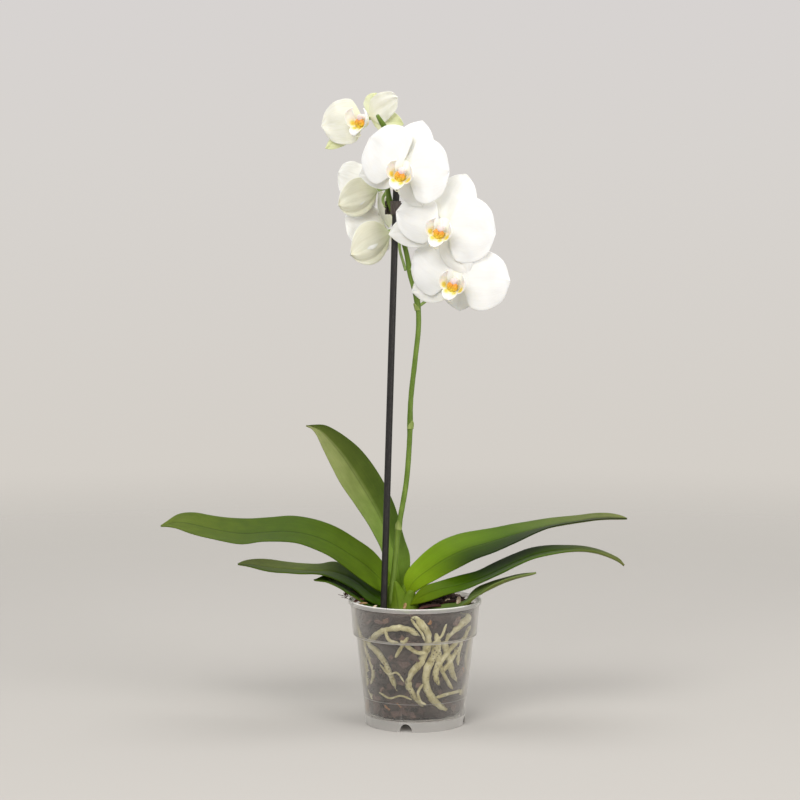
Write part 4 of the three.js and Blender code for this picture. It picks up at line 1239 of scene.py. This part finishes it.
SCALES = [(176, -0.3, 9), (272, 0.5, 8), (379, -0.9, 7), (408, 2.6, 7), (468, -2.6, 6), (531, 0.9, 6)]


def scale(name, height, turn, tall):
    """A small scale that clasps the spike at a height in mm, on the side that turn gives."""
    k = min(range(1, len(centres) - 2), key=lambda n: abs(centres[n].z - height * MM))
    spot, along = centres[k], (centres[k + 1] - centres[k - 1]).normalized()
    out = round_the_axis(turn)
    out = (out - along * out.dot(along)).normalized()
    side = along.cross(out)

    def place(i, j):
        u, v = i / 16, 2 * j / 16 - 1
        open_angle = v * (1.5 * (1 - u**1.4) + 0.03)
        round_spike = out * math.cos(open_angle) + side * math.sin(open_angle)
        return spot + (along * (u * tall - 2) + round_spike * (3.0 + 1.2 * u * u)) * MM

    thicken(piece(name, sheet_bmesh(place, 16, 16, out), [BRACT_SKIN]), 0.6 * MM)


for number, (height, turn, tall) in enumerate(SCALES):
    scale(f"scale_{number}", height, turn, tall)
print("scales 6")

# %% Scraps at the rim
def scrap(name, spot, size, turn, curl, finish):
    """A small curled flake: size is length and width in mm, turn its heading and rise in degrees."""
    heading, rise = math.radians(turn[0]), math.radians(turn[1])
    lie = Matrix.Rotation(heading, 3, "Z") @ Matrix.Rotation(-rise, 3, "Y")

    def place(i, j):
        u, v = i / 12, 2 * j / 8 - 1
        half = size[1] / 2 * (math.sin(math.pi * (0.08 + 0.84 * u)) ** 0.6)
        lift = curl * (math.sin(math.pi * u) + 0.5 * (1 - v * v))
        wander = 0.7 * noise.noise(Vector((u * 3, v, spot[0])))
        return pot_axis + (Vector(spot) + lie @ Vector((size[0] * (u - 0.5), half * v + wander, lift))) * MM

    bm = sheet_bmesh(place, 12, 8, Vector((0, 0, 1)))
    thicken(piece(name, bm, [finish]), 0.8 * MM)


DRY_CREAM = stalk_skin("dry_cream_sheath", [(0.3, "a98f76"), (0.5, "cdb9a0"), (0.75, "e6d9c6")],
                       0.7, 500.0, 0.4 * MM)
DRY_TAN = stalk_skin("dry_tan_husk", [(0.3, "6e5232"), (0.5, "95754a"), (0.75, "bfa477")],
                     0.8, 600.0, 0.5 * MM)
DRY_DARK = stalk_skin("dark_bark_flake", [(0.3, "2a1714"), (0.5, "45241f"), (0.75, "6a4034")],
                      0.85, 600.0, 0.6 * MM)
ROOT_HAIRS = 26
SCRAPS = [
    ("tan_husk", (-9, -24, 110), (6, 3), (75, 50), 1.0, DRY_TAN),
    ("cream_stub", (39, -22, 114), (9, 4), (80, 66), 1.4, DRY_CREAM),
    ("cream_flake_a", (57, -8, 117), (7, 3.2), (20, 12), 1.0, DRY_CREAM),
    ("cream_flake_b", (29, -22, 115), (5, 2.4), (-30, 20), 0.8, DRY_CREAM),
    ("cream_flake_c", (-36, -30, 110), (5, 2.6), (60, 30), 0.8, DRY_CREAM),
    # these three large dark flakes under the right leaves are bark, their dark maroon partly their own colour
    # and partly painted shade where the leaves shade them
    ("dark_flake_a", (14, -20, 108), (22, 12), (8, 6), 2.0, DRY_DARK),
    ("dark_flake_b", (33, -14, 111), (26, 12), (-10, 10), 2.2, DRY_DARK),
    ("dark_flake_c", (2, -30, 106), (14, 8), (25, 8), 1.4, DRY_DARK),
    ("husk_a", (-51, -16, 112), (12, 7), (10, 22), 2.2, DRY_DARK),
    ("husk_b", (-47, -22, 111), (10, 5), (-30, 14), 1.4, DRY_TAN),
    ("dark_chip", (-60, -6, 119), (8, 6), (30, 30), 1.6, DRY_DARK),
]
for entry in SCRAPS:
    scrap(*entry)
dice = random.Random(5)
runs = []
for k in range(ROOT_HAIRS):
    start = Vector((-60 + dice.uniform(-4, 8), -8 + dice.uniform(-6, 6), 117 + dice.uniform(-3, 2)))
    way = Vector((dice.uniform(-6, 6), dice.uniform(-5, 5), dice.uniform(-1, 5)))
    bend = Vector((dice.uniform(-2, 2), dice.uniform(-2, 2), dice.uniform(-2, 2)))
    spots = [start + way * (n / 5) + bend * math.sin(n / 5 * math.pi) for n in range(6)]
    runs.append([(pot_axis + spot * MM, 0.22 * MM) for spot in spots])
piece("dry_root_hairs", tube_bmesh(runs, 6), [DRY_DARK])
print("scraps", len(SCRAPS) + 1)

# %% [markdown]
# ## Size and finish
# The boxes of the fine pieces and of the frame's solids are printed one under the other.

# %% Print the boxes
visual_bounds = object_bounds()
for label, (low, high) in (("frame", cad_bounds), ("visual", visual_bounds)):
    print(label, [round(c / MM, 1) for c in low], [round(c / MM, 1) for c in high])
